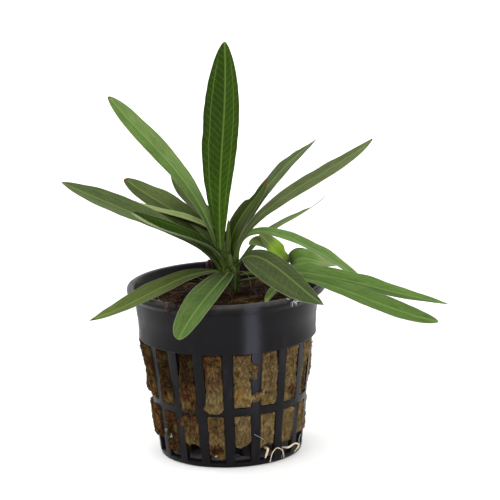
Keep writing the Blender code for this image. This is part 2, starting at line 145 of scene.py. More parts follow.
LEAVES = (
    Leaf("leaf_upright", 66, 55.2, 6.5, 59.5, 86.5, 84, 11, bow=1.06, lean=-2.36, fold=8, widest=0.615,
         blunt=0.66, foot_turn=114, top="deep", under="deep", veins=0.85, pale_edge=0.0, foot_width=5.6,
         right_half_painted_light=1.35, uneven=0.11, light=0.75, foot_painted_light=1.45),
    Leaf("leaf_upper_left", 160, 53.2, 32, 46.2, 79, 49, 7.4, roll=-25, widest=0.69, blunt=0.5, foot_turn=2,
         right_half_painted_light=1.1, browned=0.012, painted_sheen=0.5, spring=0.417, uneven=0.04, foot_painted_light=0.55, light=0.88),
    Leaf("leaf_behind_left", 139, 53.6, 20.1, 22, 78, 57, 6.9, foot_turn=-37, top="olive", light=0.6,
         spring=0.486),
    Leaf("leaf_short_left", 142, 50.8, 34.5, 22.8, 64.4, 29, 8.3, roll=-23, blunt=0.5, foot_turn=-4,
         top="olive", browned=0.03, painted_sheen=0.4, spring=0.426, light=0.72),
    Leaf("leaf_long_left", 180, 51.6, 43, 26.3, 64.9, 28.2, 8.9, roll=-3.2, twist=-32.6, blunt=0.8,
         foot_turn=16, top="grey", browned=0.012, foot_painted_light=0.3, spring=0.225, widest=0.62, light=0.82,
         right_half_painted_light=0.84),
    Leaf("leaf_edge_left", 158, 53.0, 27.7, 16.7, 98, 27.9, 6.9, roll=42.9, fold=4, foot_turn=-36,
         uneven=-0.318, spring=0.452, under="pale", light=1.5, right_half_painted_light=0.06),
    Leaf("leaf_trough_left", 205, 53.4, 26.6, 17.8, 74.7, 42.7, 6.4, roll=-19.5, fold=26, blunt=0.5,
         widest=0.66, foot_turn=17, top="deep", under="pale", foot_painted_light=0.3, spring=0.287, right_half_painted_light=0.75,
         foot_share=0.68),
    Leaf("leaf_back_right", 52, 53.0, 41, 28.4, 64, 18, 5.2, fold=8, widest=0.6, blunt=0.9, foot_turn=12,
         top="grey", light=0.66, browned=0.02, notch=(0.86, 0.3)),
    Leaf("leaf_brown_tip", 48, 54.8, 16.5, 19.2, 94, 44, 6.4, fold=8, widest=0.46, blunt=0.7, foot_turn=24,
         spring=0.4, top="young", under="young", light=0.12, browned=0.08, notch=(0.7, 0.4), uneven=-0.1,
         right_half_painted_light=1.5, veins=0.2),
    Leaf("leaf_long_right", -20, 54.4, 40.4, 35.6, 84, 38.2, 4.85, roll=-50, fold=4, widest=0.66, blunt=0.7,
         foot_turn=8, spring=0.28, top="pale", browned=0.012, right_half_painted_light=0.8, veins=0.1, foot_painted_light=0.5,
         uneven=0.17, light=0.54, under="pale"),
    Leaf("leaf_thin_right", 40, 51.2, 34, 15.6, 46.2, 28.6, 3.06, blunt=0.8, top="grey", light=1.1, wiry=0.14,
         spring=0.477),
    Leaf("leaf_arching_right", 24, 51.6, 38.4, -8.4, 96, -39.9, 6.33, roll=29.2, uneven=0.02, widest=0.73,
         blunt=0.7, spring=0.56, foot_turn=-10, light=0.95),
    Leaf("leaf_lower_right", -4, 49.8, 58, -9.0, 9, -10, 6.5, roll=24, blunt=0.8, browned=0.02, right_half_painted_light=0.62,
         light=0.92),
    Leaf("leaf_lowest_right", -18, 48.0, 57, -8.4, 20, -9, 5.8, twist=50, widest=0.68, blunt=0.6,
         foot_turn=-10, light=0.72),
    Leaf("leaf_broad_front", -44, 52.0, 32.8, -5.3, 59, -18.8, 9.1, roll=32, blunt=0.92, foot_turn=3,
         stalk=0.08, top="grey", light=0.46, pale_edge=0.3, uneven=-0.42, widest=0.509, spring=0.403,
         veins=0.45),
    Leaf("leaf_over_rim", -113, 51.0, 33.7, -10.3, 18.6, -45.8, 8, bow=3.7, blunt=0.45, foot_turn=8,
         widest=0.661, light=0.68, pale_edge=0.38, foot_painted_light=0.18, painted_sheen=0.15, spring=0.374, roll=-7.3,
         uneven=-0.087, foot_share=0.85, right_half_painted_light=0.75),
    Leaf("leaf_front_left", 215, 50.8, 43.8, -5.6, 24.1, -4.4, 6.5, roll=-17.7, blunt=0.9, foot_turn=13,
         top="olive", under="pale", browned=0.04, foot_painted_light=0.3, spring=0.276, widest=0.566, foot_share=1.15,
         light=1.3),
    Leaf("leaf_short_front", -62, 53.0, 0.5, -6.75, -40.9, -77, 2.6, foot_turn=4, top="olive", pale_edge=0.1,
         under="grey", light=0.5),
    Leaf("leaf_bud", 62, 56.2, 0.6, 9.5, 86, 84, 1.4, top="deep", light=0.9),
    Leaf("shoot_leaf_bright", 200, 52.2, 7.4, 9, 47, 45.5, 5.7, roll=-53, foot_turn=58, stem="shoot",
         top="young", under="pale", wavy=0.9, far="olive", painted_sheen=0.2),
    Leaf("shoot_leaf_curled", 196, 51.8, 9, 6.1, 73, -27, 4.9, roll=-35, foot_turn=-28, stem="shoot",
         top="olive", under="pale", spring=0.42, light=2.8),
    Leaf("shoot_leaf_light", -12, 51.0, 12.4, 0.26, 74, 2.8, 6.2, roll=50, fold=6, foot_turn=12, widest=0.22,
         blunt=1.1, stem="shoot", under="pale", painted_sheen=0.3, far="pale", light=1.2),
    Leaf("shoot_leaf_front", -104, 46.8, 25, 0.2, 6, -6, 3.4, stem="shoot", top="young", light=0.5),
)


def round_pot(radius, angle, height):
    """A point at an angle in degrees round the pot's axis."""
    turn = math.radians(angle)
    return Vector((radius * math.cos(turn), radius * math.sin(turn), height))


def near_slots(*points):
    """A root's points beside the pot's slots, from radius, angle and height."""
    return tuple(round_pot(*point) for point in points)


class Root(NamedTuple):
    """One root: the points that its middle runs through, and its thickness."""

    name: str
    radius: float
    points: tuple
    slot: str


ROOTS = (
    Root("root_over_rim", 0.8, ((-8.5, 2, 46.8), (-10, -8, 47.4), (-12.3, -18, 48.6), (-13.6, -24, 49.6),
                                (-15.6, -25.4, 48.8), (-16.2, -25.2, 46.0)), "root_brown"),
    Root("root_loop", 0.42, ((-2.6, -2.0, 46.4), (-4.4, -1.8, 49.8), (-5.0, -1.6, 53.2),
                             (-4.3, -1.6, 54.6), (-3.6, -1.6, 52.6)), "root_brown"),
    Root("root_arc", 0.07, ((3.0, -3.6, 50.8), (4.4, -4.8, 52.0), (6.2, -6.0, 51.2), (7.2, -6.6, 47.2)),
         "root_white"),
    Root("root_white_stub", 0.36,
         near_slots((18.8, -60, 4.6), (20.8, -61, 4.8), (21.6, -61.8, 4.7),
                    (21.4, -63.8, 2.4)), "root_white"),
    Root("root_white_loop", 0.13,
         near_slots((21.0, -59.3, 0.9), (21.5, -57.9, 3.4), (21.5, -53.5, 4.6), (21.4, -47.9, 3.2),
                    (20.9, -45.4, 0.4)), "root_white"),
    Root("root_white_thick", 0.27,
         near_slots((19.2, -42, 3.4), (21.3, -41.5, 3.7), (21.7, -34.6, 4.2), (21.6, -29, 3.0),
                    (21.4, -34.5, 1.7)), "root_white"),
)


COLOUR = {"subtype": "COLOR", "size": 3, "min": 0, "max": 1}


class PotSettings(bpy.types.PropertyGroup):
    """The moulded pot."""

    rounding: FloatProperty(
        name="Edge rounding", description="Radius of the pot's moulded edges",
        default=0.16 * MM, min=0.0, max=1 * MM, precision=5, unit="LENGTH")
    plastic: FloatVectorProperty(
        name="Plastic", description="Colour of the pot", default=(0.0046, 0.0040, 0.0050), **COLOUR)
    scuffs: FloatVectorProperty(
        name="Scuffs", description="Colour where the plastic is rubbed or dusty",
        default=(0.030, 0.026, 0.028), **COLOUR)


class WoolSettings(bpy.types.PropertyGroup):
    """The plug of mineral wool and its fibres."""

    straw: FloatVectorProperty(
        name="Dry wool", description="Colour of the driest wool", default=(0.160, 0.112, 0.050), **COLOUR)
    rust: FloatVectorProperty(
        name="Wet wool", description="Colour of wet, stained wool", default=(0.040, 0.017, 0.006), **COLOUR)
    fibres: IntProperty(
        name="Fibres", description="Number of loose fibres on the wool's side", default=6000, min=0, max=6000)
    thickness: FloatProperty(
        name="Fibre thickness", description="Radius of a loose fibre",
        default=0.055 * MM, min=0.01 * MM, max=0.3 * MM, precision=6, unit="LENGTH")


class LeafSettings(bpy.types.PropertyGroup):
    """The greens of the leaves, and their veins."""

    deep: FloatVectorProperty(
        name="Deep green", description="Old leaves in the middle", default=(0.018, 0.047, 0.001), **COLOUR)
    fresh: FloatVectorProperty(
        name="Fresh green", description="Leaves in full growth", default=(0.090, 0.170, 0.038), **COLOUR)
    grey: FloatVectorProperty(
        name="Grey green", description="Leaves with a waxy bloom", default=(0.088, 0.128, 0.046), **COLOUR)
    olive: FloatVectorProperty(
        name="Olive", description="Older leaves and undersides", default=(0.072, 0.100, 0.026), **COLOUR)
    pale: FloatVectorProperty(
        name="Pale green", description="Pale undersides, and the palest leaf",
        default=(0.19, 0.25, 0.10), **COLOUR)
    young: FloatVectorProperty(
        name="Young green", description="Leaves of the side shoot", default=(0.15, 0.27, 0.012), **COLOUR)
    stalk: FloatVectorProperty(
        name="Stalks", description="Leaf stalks, where they clasp the stem",
        default=(0.036, 0.066, 0.010), **COLOUR)
    brown: FloatVectorProperty(
        name="Brown tips", description="Where a tip has died back", default=(0.11, 0.060, 0.012), **COLOUR)
    vein_pitch: FloatProperty(
        name="Vein spacing", description="Distance between side veins",
        default=2.0 * MM, min=0.5 * MM, max=6 * MM, precision=5, unit="LENGTH")


class RootSettings(bpy.types.PropertyGroup):
    """The roots."""

    brown: FloatVectorProperty(
        name="Old roots", description="Colour of old roots", default=(0.030, 0.012, 0.009), **COLOUR)
    cream: FloatVectorProperty(
        name="New roots", description="Colour of new roots", default=(0.74, 0.65, 0.49), **COLOUR)
    strands: IntProperty(
        name="Strands on the rim", description="Number of strands in the bundle on the rim",
        default=34, min=1, max=100)
    hairs: IntProperty(
        name="Fine roots", description="Number of fine roots over the wool", default=150, min=0, max=600)


class StageSettings(bpy.types.PropertyGroup):
    """Floor, light and camera."""

    floor_colour: FloatVectorProperty(
        name="Floor", description="Colour of the floor", default=(0.96, 0.96, 0.96), **COLOUR)
    sky: FloatProperty(
        name="Surround", description="Strength of the even white light all round", default=0.45, min=0, max=5)
    key: FloatProperty(
        name="Overhead light", description="Strength of the wide soft light overhead",
        default=3.5, min=0, max=20)
    side: FloatProperty(
        name="Side light", description="Strength of the soft box on the left", default=0.9, min=0, max=20)


GROUPS = {"pot": PotSettings, "wool": WoolSettings, "leaf": LeafSettings, "root": RootSettings,
          "stage": StageSettings}


def settings(part):
    """The settings of one part of the plant, kept on the scene."""
    return getattr(bpy.context.scene, "sword_plant_" + part)


# ---------------------------------------------------------------- shapes

def blend(low, high, share):
    return low + (high - low) * share


def smooth_step(low, high, value):
    """0 below low, 1 above high, and smooth between."""
    share = np.clip((value - low) / (high - low), 0.0, 1.0)
    return share * share * (3 - 2 * share)


def lumps(points, size, seed=0.0):
    """Smooth noise from about -1 to 1 at each point, with lumps of that size."""
    shift = Vector((seed * 7.3, seed * 3.1, seed * 5.7))
    flat = np.asarray(points, float).reshape(-1, 3) / size
    values = [noise.noise(Vector(p) + shift) for p in flat.tolist()]
    return np.array(values).reshape(np.shape(points)[:-1])


def ring_points(radius, turn, height):
    """Points round the pot's axis, from arrays of their radius, turn in radians and height."""
    return np.stack(np.broadcast_arrays(radius * np.cos(turn), radius * np.sin(turn), height), axis=-1)


def full_turn(sides):
    """That many turns in radians, evenly all round."""
    return np.arange(sides) * math.tau / sides


def add_mesh(name, points, faces, finish, stands_for=(), attributes=None):
    """A smooth mesh in millimetres as a piece of the plant, over the solids that it stands for."""
    mesh = bpy.data.meshes.new(name)
    mesh.from_pydata((np.asarray(points, float).reshape(-1, 3) * MM).tolist(), [], faces)
    for key, values in (attributes or {}).items():
        values = np.asarray(values, float)
        if values.ndim == 1:
            mesh.attributes.new(key, "FLOAT", "POINT").data.foreach_set("value", values)
        else:
            mesh.attributes.new(key, "FLOAT_VECTOR", "POINT").data.foreach_set("vector", values.ravel())
    mesh.shade_smooth()
    mesh.update()
    mesh.materials.append(finish)
    piece = bpy.data.objects.new(name, mesh)
    bpy.context.collection.objects.link(piece)
    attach(piece, "root")
    if stands_for:
        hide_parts(*stands_for)
    return piece


def round_faces(rows, columns, caps=2):
    """Quads of a grid of points whose columns join round, with a cap on its first row and on its last."""
    index = np.arange(rows * columns).reshape(1, rows, columns)
    faces = wall_quads(index)
    faces += [index[0, 0, ::-1].tolist(), index[0, -1].tolist()][:caps]
    return faces


def wall_quads(index):
    """Quads between the rings of points that are numbered in index: (tubes, rings, points)."""
    after = np.roll(index, -1, axis=2)
    quads = np.stack([index[:, :-1], after[:, :-1], after[:, 1:], index[:, 1:]], axis=-1)
    return quads.reshape(-1, 4).tolist()


def tubes(paths, radii, sides):
    """Points and faces of closed tubes, from their paths (tubes, points, 3) and radii (tubes, points)."""
    paths = np.asarray(paths, float)
    count, steps = paths.shape[:2]
    along = np.gradient(paths, axis=1)
    along /= np.linalg.norm(along, axis=2, keepdims=True) + 1e-9
    side = np.cross(along, np.array([0.31, 0.87, 0.38]))
    side /= np.linalg.norm(side, axis=2, keepdims=True) + 1e-9
    out = np.cross(along, side)
    turn = full_turn(sides)[:, None]
    ring = side[:, :, None] * np.cos(turn) + out[:, :, None] * np.sin(turn)
    points = paths[:, :, None] + ring * np.asarray(radii, float)[:, :, None, None]
    index = np.arange(count * steps * sides).reshape(count, steps, sides)
    faces = wall_quads(index) + index[:, 0, ::-1].tolist() + index[:, -1].tolist()
    return points.reshape(-1, 3), faces


def add_threads(name, paths, radii, sides, finish, slot, stands_for=(), **each):
    """Many thin tubes as one piece, with the values that each tube gives its finish."""
    points, faces = tubes(paths, radii, sides)
    around = np.shape(paths)[1] * sides
    add_mesh(name, points, faces, finish, stands_for,
             {key: np.repeat(values, around) for key, values in each.items()})


def smooth_line(points, steps):
    """Points on a Catmull-Rom curve through the given ones, with steps to each stretch."""
    points = [np.array(p, float) for p in points]
    padded = [points[0] * 2 - points[1], *points, points[-1] * 2 - points[-2]]
    path = []
    for a, b, c, d in zip(padded, padded[1:], padded[2:], padded[3:]):
        for k in range(steps):
            t = k / steps
            path.append(0.5 * (b * 2 + (c - a) * t + (a * 2 - b * 5 + c * 4 - d) * t * t
                               + (b * 3 - a - c * 3 + d) * t**3))
    return np.array([*path, points[-1]])


# ---------------------------------------------------------------- finishes

class Value:
    """A number that a node gives; sums and products of it make further nodes."""

    def __init__(self, finish, socket):
        self.finish = finish
        self.socket = socket

    def __add__(self, other):
        return self.finish.math("ADD", self, other)

    def __sub__(self, other):
        return self.finish.math("SUBTRACT", self, other)

    def __rsub__(self, other):
        return self.finish.math("SUBTRACT", other, self)

    def __mul__(self, other):
        return self.finish.math("MULTIPLY", self, other)

    def __truediv__(self, other):
        return self.finish.math("DIVIDE", self, other)

    def __abs__(self):
        return self.finish.math("ABSOLUTE", self)


class Finish:
    """A node material under construction."""

    def __init__(self, name):
        self.material = bpy.data.materials.new(name)
        self.material.use_nodes = True
        self.tree = self.material.node_tree
        self.shader = self.tree.nodes["Principled BSDF"]

    def put(self, node, inputs):
        for key, value in inputs.items():
            if isinstance(value, Value):
                self.tree.links.new(value.socket, node.inputs[key])
            else:
                node.inputs[key].default_value = value

    def add_node(self, kind, inputs, **looks):
        """A node with its inputs, which are numbers or other nodes' values."""
        made = self.tree.nodes.new(kind)
        for key, value in looks.items():
            setattr(made, key, value)
        self.put(made, inputs)
        return made

    def node(self, kind, inputs, output=0, **looks):
        """What a new node gives at that output."""
        return Value(self, self.add_node(kind, inputs, **looks).outputs[output])

    def attribute(self, name, output="Fac"):
        return self.node("ShaderNodeAttribute", {}, output, attribute_name=name)

    def place(self):
        """Where a surface point is on the object, in metres."""
        return self.node("ShaderNodeTexCoord", {}, "Object")

    def parts(self, vector):
        """The three parts of a vector."""
        made = self.add_node("ShaderNodeSeparateXYZ", {0: vector})
        return [Value(self, part) for part in made.outputs]

    def math(self, operation, *values):
        return self.node("ShaderNodeMath", dict(enumerate(values)), operation=operation)

    def vector(self, operation, *values, output=0):
        return self.node("ShaderNodeVectorMath", dict(enumerate(values)), output, operation=operation)

    def far_from(self, place, spot, spread=None):
        """Metres between a place and a spot given in millimetres, or shares of a spread given so."""
        away = self.vector("SUBTRACT", place, tuple(part * MM for part in spot))
        if spread:
            away = self.stretched(away, *(1 / (part * MM) for part in spread))
        return self.vector("LENGTH", away, output="Value")

    def step(self, value, low, high, start=0.0, end=1.0):
        """A smooth step of value from start, at low, to end, at high."""
        inputs = {"Value": value, "From Min": low, "From Max": high, "To Min": start, "To Max": end}
        return self.node("ShaderNodeMapRange", inputs, "Result", interpolation_type="SMOOTHSTEP")

    def noise(self, place, scale, detail=3.0, rough=0.55, distortion=0.0):
        inputs = {"Vector": place, "Scale": scale, "Detail": detail, "Roughness": rough,
                  "Distortion": distortion}
        return self.node("ShaderNodeTexNoise", inputs, "Fac")

    def stretched(self, place, x, y, z):
        return self.node("ShaderNodeMapping", {"Vector": place, "Scale": (x, y, z)}, "Vector")

    def specks(self, place, scale, widest, smallest):
        """Small round specks, one in each cell."""
        return self.step(self.node("ShaderNodeTexVoronoi", {"Vector": place, "Scale": scale}, "Distance"),
                         widest, smallest)

    def mix(self, share, first, second, kind="MIX"):
        first, second = (value if isinstance(value, Value) else (*value, 1.0) for value in (first, second))
        return self.node("ShaderNodeMix", {"Factor": share, 6: first, 7: second}, 2, data_type="RGBA",
                         blend_type=kind)

    def ramp(self, share, stops):
        made = self.add_node("ShaderNodeValToRGB", {"Fac": share})
        elements = made.color_ramp.elements
        while len(elements) < len(stops):
            elements.new(0.5)
        for element, (at, colour) in zip(elements, stops):
            element.position = at
            element.color = (*colour, 1.0)
        return Value(self, made.outputs["Color"])

    def bump(self, height, distance, strength):
        inputs = {"Height": height, "Distance": distance * MM, "Strength": strength}
        self.put(self.shader, {"Normal": self.node("ShaderNodeBump", inputs, "Normal")})

    def done(self, colour, rough, shine):
        """The material, with its colour, its roughness and how strongly it shines."""
        self.put(self.shader, {"Base Color": colour, "Roughness": rough, "Specular IOR Level": shine})
        return self.material


def pot_finish(look):
    """Black moulded plastic: satin, faintly dusty, with a few dried specks, a painted highlight on the lip's
    top, a painted pool of light on the inner floor, and a bluish patch down the front that is partly rubbed
    and partly a painted reflection.
    """
    lip_dust_and_highlight, lit_floor, bluish_reflection, dried = (
        (0.044, 0.039, 0.037), (0.10, 0.088, 0.10), (0.034, 0.036, 0.044), (0.16, 0.15, 0.15))
    f = Finish("net_pot_plastic")
    place = f.place()
    cloud = f.noise(place, 70, 4, 0.6)
    streak = f.noise(f.stretched(place, 1, 1, 0.15), 420, 3, 0.6)
    grain = f.noise(place, 5200, 2, 0.5)
    dust = f.step(cloud, 0.42, 0.72) * f.step(streak, 0.40, 0.75)
    base = f.mix(dust * 0.55, look.plastic, look.scuffs)
    x, y, height = f.parts(place)
    out = f.math("SQRT", f.math("POWER", x, 2.0) + f.math("POWER", y, 2.0))
    # the lip's top: a painted highlight, broken into dusty streaks
    lip = f.step(height, 46.6 * MM, 47.8 * MM) * f.step(out, 25.6 * MM, 26.3 * MM)
    base = f.mix(lip * f.step(streak, 0.2, 0.6, 0.45, 0.95), base, lip_dust_and_highlight)
    inside = f.step(height, 3.0 * MM, 1.9 * MM) * f.step(out, 18.6 * MM, 17.8 * MM)
    base = f.mix(inside * f.step(cloud, 0.35, 0.6, 0.4, 1.0), base, lit_floor)
    # a bluish patch down the front of the band: partly rubbed plastic, partly a painted reflection of the
    # soft box on the right
    down_front = f.far_from(place, (6.9, -24.6, 37), (3.3, 14, 26))
    scuff_and_reflection = f.step(down_front, 1.15, 0.2) * f.step(streak, 0.25, 0.60, 0.55, 1.0)
    base = f.mix(scuff_and_reflection * 0.85, base, bluish_reflection)
    speck = f.specks(place, 330, 0.10, 0.05) * f.step(f.noise(place, 90, 2), 0.56, 0.64)
    base = f.mix(speck * 0.5, base, dried)
    f.bump(grain * 0.5 + streak, 0.02, 0.5)
    return f.done(base, f.step(cloud + dust * 0.5, 0.3, 1.1, 0.36, 0.58), 0.09)


def wool_finish(name, look, mossy):
    """Damp mineral wool, from straw where it is dry to rust where it is wet and stained, with painted shade
    in its creases, its hollows and its dips.
    """
    stain, moss = (0.30, 0.165, 0.030), (0.10, 0.13, 0.03)
    f = Finish(name)
    place = f.place()
    tone = f.attribute("tone")
    wet = f.attribute("wet")
    fibre = f.noise(f.stretched(place, 1, 1, 0.45), 1900, 5, 0.78, 0.5)
    patch = f.noise(place, 260, 3, 0.6)
    straw, rust = Vector(look.straw), Vector(look.rust)
    gold = (straw.x * 1.6, straw.y * 1.35, straw.z * 0.7)
    strand = fibre * 0.72 + tone * 0.34
    dry = f.ramp(strand, ((0.22, straw * 0.16), (0.42, straw * 0.55), (0.58, straw), (0.80, straw * 1.7)))
    damp = f.ramp(strand, ((0.25, rust * 0.10), (0.46, rust * 0.6), (0.64, rust * 1.7), (0.84, straw * 0.95)))
    base = f.mix(f.step(wet + (patch - 0.5) * 0.9, 0.2, 0.8), dry, damp)
    golden = f.step(f.noise(place, 210, 2, 0.5, 0.8), 0.52, 0.68)
    base = f.mix(golden * 0.3, base, gold)
    low_front = f.far_from(place, (3.2, -23.7, 21.6))
    base = f.mix(f.step(low_front, 3.2 * MM, 0.4 * MM, 0.0, 0.75), base, stain)
    # near-black where the wet value is highest, mostly in the hollows: there it is painted shade
    base = f.mix(f.step(wet, 0.90, 1.35) * 0.85, base, rust * 0.22)
    # painted shade in the creases between the fibres
    crease_shade = f.step(f.noise(f.stretched(place, 1, 1, 0.6), 620, 3, 0.6, 1.2), 0.44, 0.30)
    base = f.mix(crease_shade * 0.75, base, rust * 0.2)
    if mossy:
        base = f.mix(f.step(f.noise(place, 180, 2), 0.56, 0.70) * 0.25, base, moss)
    f.bump(fibre + patch, 0.35, 0.8)
    return f.done(base, 0.97 - wet * 0.15, 0.03)


def leaf_finish(look):
    """Leathery green blades: midrib, side veins that run forward, edge veins, margins and browned tips."""
    pale_vein, pale_margin, brown_margin, specked = (
        (0.26, 0.40, 0.09), (0.42, 0.46, 0.30), (0.06, 0.05, 0.02), (0.45, 0.50, 0.35))
    f = Finish("sword_leaf")
    across, along, half = f.parts(f.attribute("blade", "Vector"))  # share of the half width, then millimetres
    _, browned, veins = f.parts(f.attribute("traits", "Vector"))
    edge = f.attribute("pale_edge")
    green = f.attribute("green", "Color")
    out = abs(across)
    aside = out * half
    place = f.place()
    mottle = f.noise(place, 150, 3, 0.55)
    streak = f.noise(f.node("ShaderNodeCombineXYZ", {0: across * half, 1: along * 0.09}), 2.6, 3, 0.6)
    skin = f.noise(place, 2600, 2, 0.5)

    # side veins with finer ones between them, a nerve near each edge, and the midrib
    phase = (along - aside * 0.95) / (look.vein_pitch / MM) + (mottle - 0.5) * 0.7
    side = f.step(abs(f.math("FRACT", phase) - 0.5), 0.10, 0.0)
    fine = f.step(abs(f.math("FRACT", phase * 3.0) - 0.5), 0.22, 0.0)
    side = (side * 0.55 + fine * 0.25) * f.step(out, 0.98, 0.80)
    nerve = f.step(abs(out - 0.64) * half, 0.24, 0.05) * f.step(half, 2.0, 3.6) * 0.75
    midrib = f.step(aside, 0.42, 0.10) * f.step(veins, -0.3, 0.5)
    lines = f.math("MAXIMUM", f.math("MAXIMUM", side, nerve) * veins, midrib * 0.9)

    darker = f.mix(1.0, green, (0.72, 0.74, 0.66), "MULTIPLY")
    lighter = f.mix(1.0, green, (1.34, 1.22, 1.2), "MULTIPLY")
    base = f.mix(f.step(streak * 0.6 + mottle * 0.4, 0.30, 0.70), darker, lighter)
    base = f.mix(lines * 0.50, base, f.mix(0.55, green, pale_vein))
    rim = f.step((1.0 - out) * half, 0.26, 0.04)
    base = f.mix(rim * edge, base, pale_margin)
    base = f.mix(rim * (1.0 - edge) * 0.35, base, brown_margin)
    burnt = f.step(browned + (mottle - 0.5) * 0.5, 0.35, 0.75) * f.step(browned, 0.0, 0.2)
    base = f.mix(burnt, base, look.brown)
    speck = f.specks(place, 520, 0.09, 0.04) * f.step(mottle, 0.60, 0.68)
    base = f.mix(speck * 0.35, base, specked)
    f.bump(lines * -0.8 + skin * 0.18, 0.08, 0.9)
    return f.done(base, f.step(mottle + lines * -0.2, 0.2, 0.8, 0.40, 0.54), 0.05)


def stem_finish():
    """The crown's sheaths: brown at the foot, olive higher up, finely ribbed."""
    brown, olive, ribbed = (0.030, 0.016, 0.008), (0.060, 0.085, 0.020), (0.085, 0.098, 0.030)
    f = Finish("crown_sheath")
    place = f.place()
    grain = f.noise(f.stretched(place, 1, 1, 0.12), 2400, 3, 0.6)
    level = f.parts(place)[2] + (f.noise(place, 500, 3, 0.6) - 0.5) * (4 * MM)
    base = f.mix(f.step(level, 46 * MM, 52 * MM), brown, olive)
    base = f.mix(f.step(grain, 0.35, 0.7, 0.0, 0.6), base, ribbed)
    f.bump(grain, 0.12, 0.8)
    return f.done(base, f.step(grain, 0.3, 0.7, 0.45, 0.65), 0.2)


def root_finish(name, colour, stained):
    """Root skin, ringed and a little stained."""
    f = Finish(name)
    place = f.place()
    stain = f.noise(place, 420, 3, 0.6)
    rings = f.noise(f.stretched(place, 1, 1, 2.2), 1900, 2, 0.6)
    base = f.mix(f.step(stain, 0.42, 0.66), colour, stained)
    base = f.mix(f.step(rings, 0.35, 0.7, 0.0, 0.4), base, tuple(0.5 * part for part in colour))
    f.bump(rings, 0.06, 0.7)
    return f.done(base, f.step(stain, 0.3, 0.7, 0.50, 0.75), 0.12)


def thread_finish(name, stops):
    """Fine roots and fluff, each with its own tone."""
    f = Finish(name)
    cloud = f.noise(f.place(), 900, 2, 0.5)
    base = f.ramp(f.attribute("tone") + (cloud - 0.5) * 0.3, stops)
    return f.done(base, f.step(cloud, 0.3, 0.7, 0.6, 0.85), 0.06)


# ---------------------------------------------------------------- the pot

def rib_radius(height):
    """Outer radius of the slotted wall, which widens evenly from the foot to the band."""
    return blend(FOOT_RADIUS, RIB_TOP_RADIUS, height / BAND_FOOT_HEIGHT)


def rows_from(outer, inner, height, offsets):
    """Rows of the pot's wall, as offsets out and up from an outer radius, and then from an inner one."""
    return tuple(((outer + out, height + up), (inner + in_out, height + in_up))
                 for out, up, in_out, in_up in offsets)


POT_ROWS = (
    # outer radius and height, then inner radius and height
    ((DRAIN_INNER, 0), (DRAIN_INNER, FLOOR)),
    ((DRAIN_OUTER, 0), (DRAIN_OUTER, FLOOR)),
    ((FOOT_RADIUS - 0.7, 0), (FOOT_RADIUS - WALL - 0.6, FLOOR)),
    ((FOOT_RADIUS - 0.15, 0.2), (FOOT_RADIUS - WALL - 0.4, FLOOR + 0.1)),
    ((FOOT_RADIUS, 0.7), (FOOT_RADIUS - WALL - 0.2, FLOOR + 0.2)),
    ((rib_radius(1.3), 1.3), (rib_radius(1.9) - WALL, 1.9)),
    *(((rib_radius(edge) - 0.15, edge), (rib_radius(edge) - WALL, edge)) for edge in (RING_FOOT, RING_TOP)),
    ((RIB_TOP_RADIUS, BAND_FOOT_HEIGHT), (RIB_TOP_RADIUS - WALL, BAND_FOOT_HEIGHT)),
    *rows_from(BAND_FOOT_RADIUS, RIB_TOP_RADIUS - WALL, BAND_FOOT_HEIGHT, (
        (-0.15, 0.1, 0, 0.2), (0.05, 0.3, 0.1, 0.5), (0.05, 0.9, 0.2, 0.9), (-0.05, 1.2, 0.3, 1.2))),
    *rows_from(BAND_FOOT_RADIUS, BAND_TOP_RADIUS - WALL, BAND_STEP_HEIGHT, (
        (0.25, 0, -0.3, 0), (0.37, 0.25, -0.3, 0.3))),
    *rows_from(BAND_TOP_RADIUS, BAND_TOP_RADIUS - WALL, POT_HEIGHT, ((0, -3.4, 0, -3.4),)),
    *rows_from(LIP_RADIUS, BAND_TOP_RADIUS, POT_HEIGHT, (
        (-0.35, -2.05, -0.75, -2.3), (-0.05, -1.7, -0.55, -1.8), (0, -1.2, -0.35, -1.3),
        (-0.04, -0.7, -0.15, -0.8), (-0.22, -0.3, 0.05, -0.35), (-0.6, -0.06, 0.3, -0.08),
        (-1.0, 0, 0.7, 0))),
)
SLOT_ROWS = (5, 7)
DRAIN_ROW = 0
RIB_TURNS = (-1.0, -0.5, 0.0, 0.5)  # columns on a rib, as shares of its half angle
SLOT_TURNS = (0.0, 0.18, 0.36, 0.5, 0.64, 0.82)  # columns across a slot, as shares of its width
SHARP = math.radians(32)  # edges that bend more than this are rounded

# sides of a cell of the wall, as corners numbered from the lower left, outside and then inside
OUTSIDE, INSIDE, LEFT, RIGHT = (0, 1, 2, 3), (4, 7, 6, 5), (0, 3, 7, 4), (1, 5, 6, 2)
LOWER, UPPER, DRAIN_EDGE = (0, 4, 5, 1), (3, 2, 6, 7), (0, 1, 5, 4)
BESIDE = ((0, -1, LEFT), (0, 1, RIGHT), (-1, 0, LOWER), (1, 0, UPPER))  # steps up and on to the next cell


def pot_columns():
    """The pot's columns: the angle of each, whether a slot opens on its right, and its rib's number."""
    slot_width = SLOT_PITCH - 2 * RIB_HALF_ANGLE
    columns = []
    for rib in range(RIBS):
        middle = -90 + RIB_TURN + rib * SLOT_PITCH
        columns += [(middle + turn * RIB_HALF_ANGLE, False, rib) for turn in RIB_TURNS]
        columns += [(middle + RIB_HALF_ANGLE + turn * slot_width, True, rib) for turn in SLOT_TURNS]
    return columns


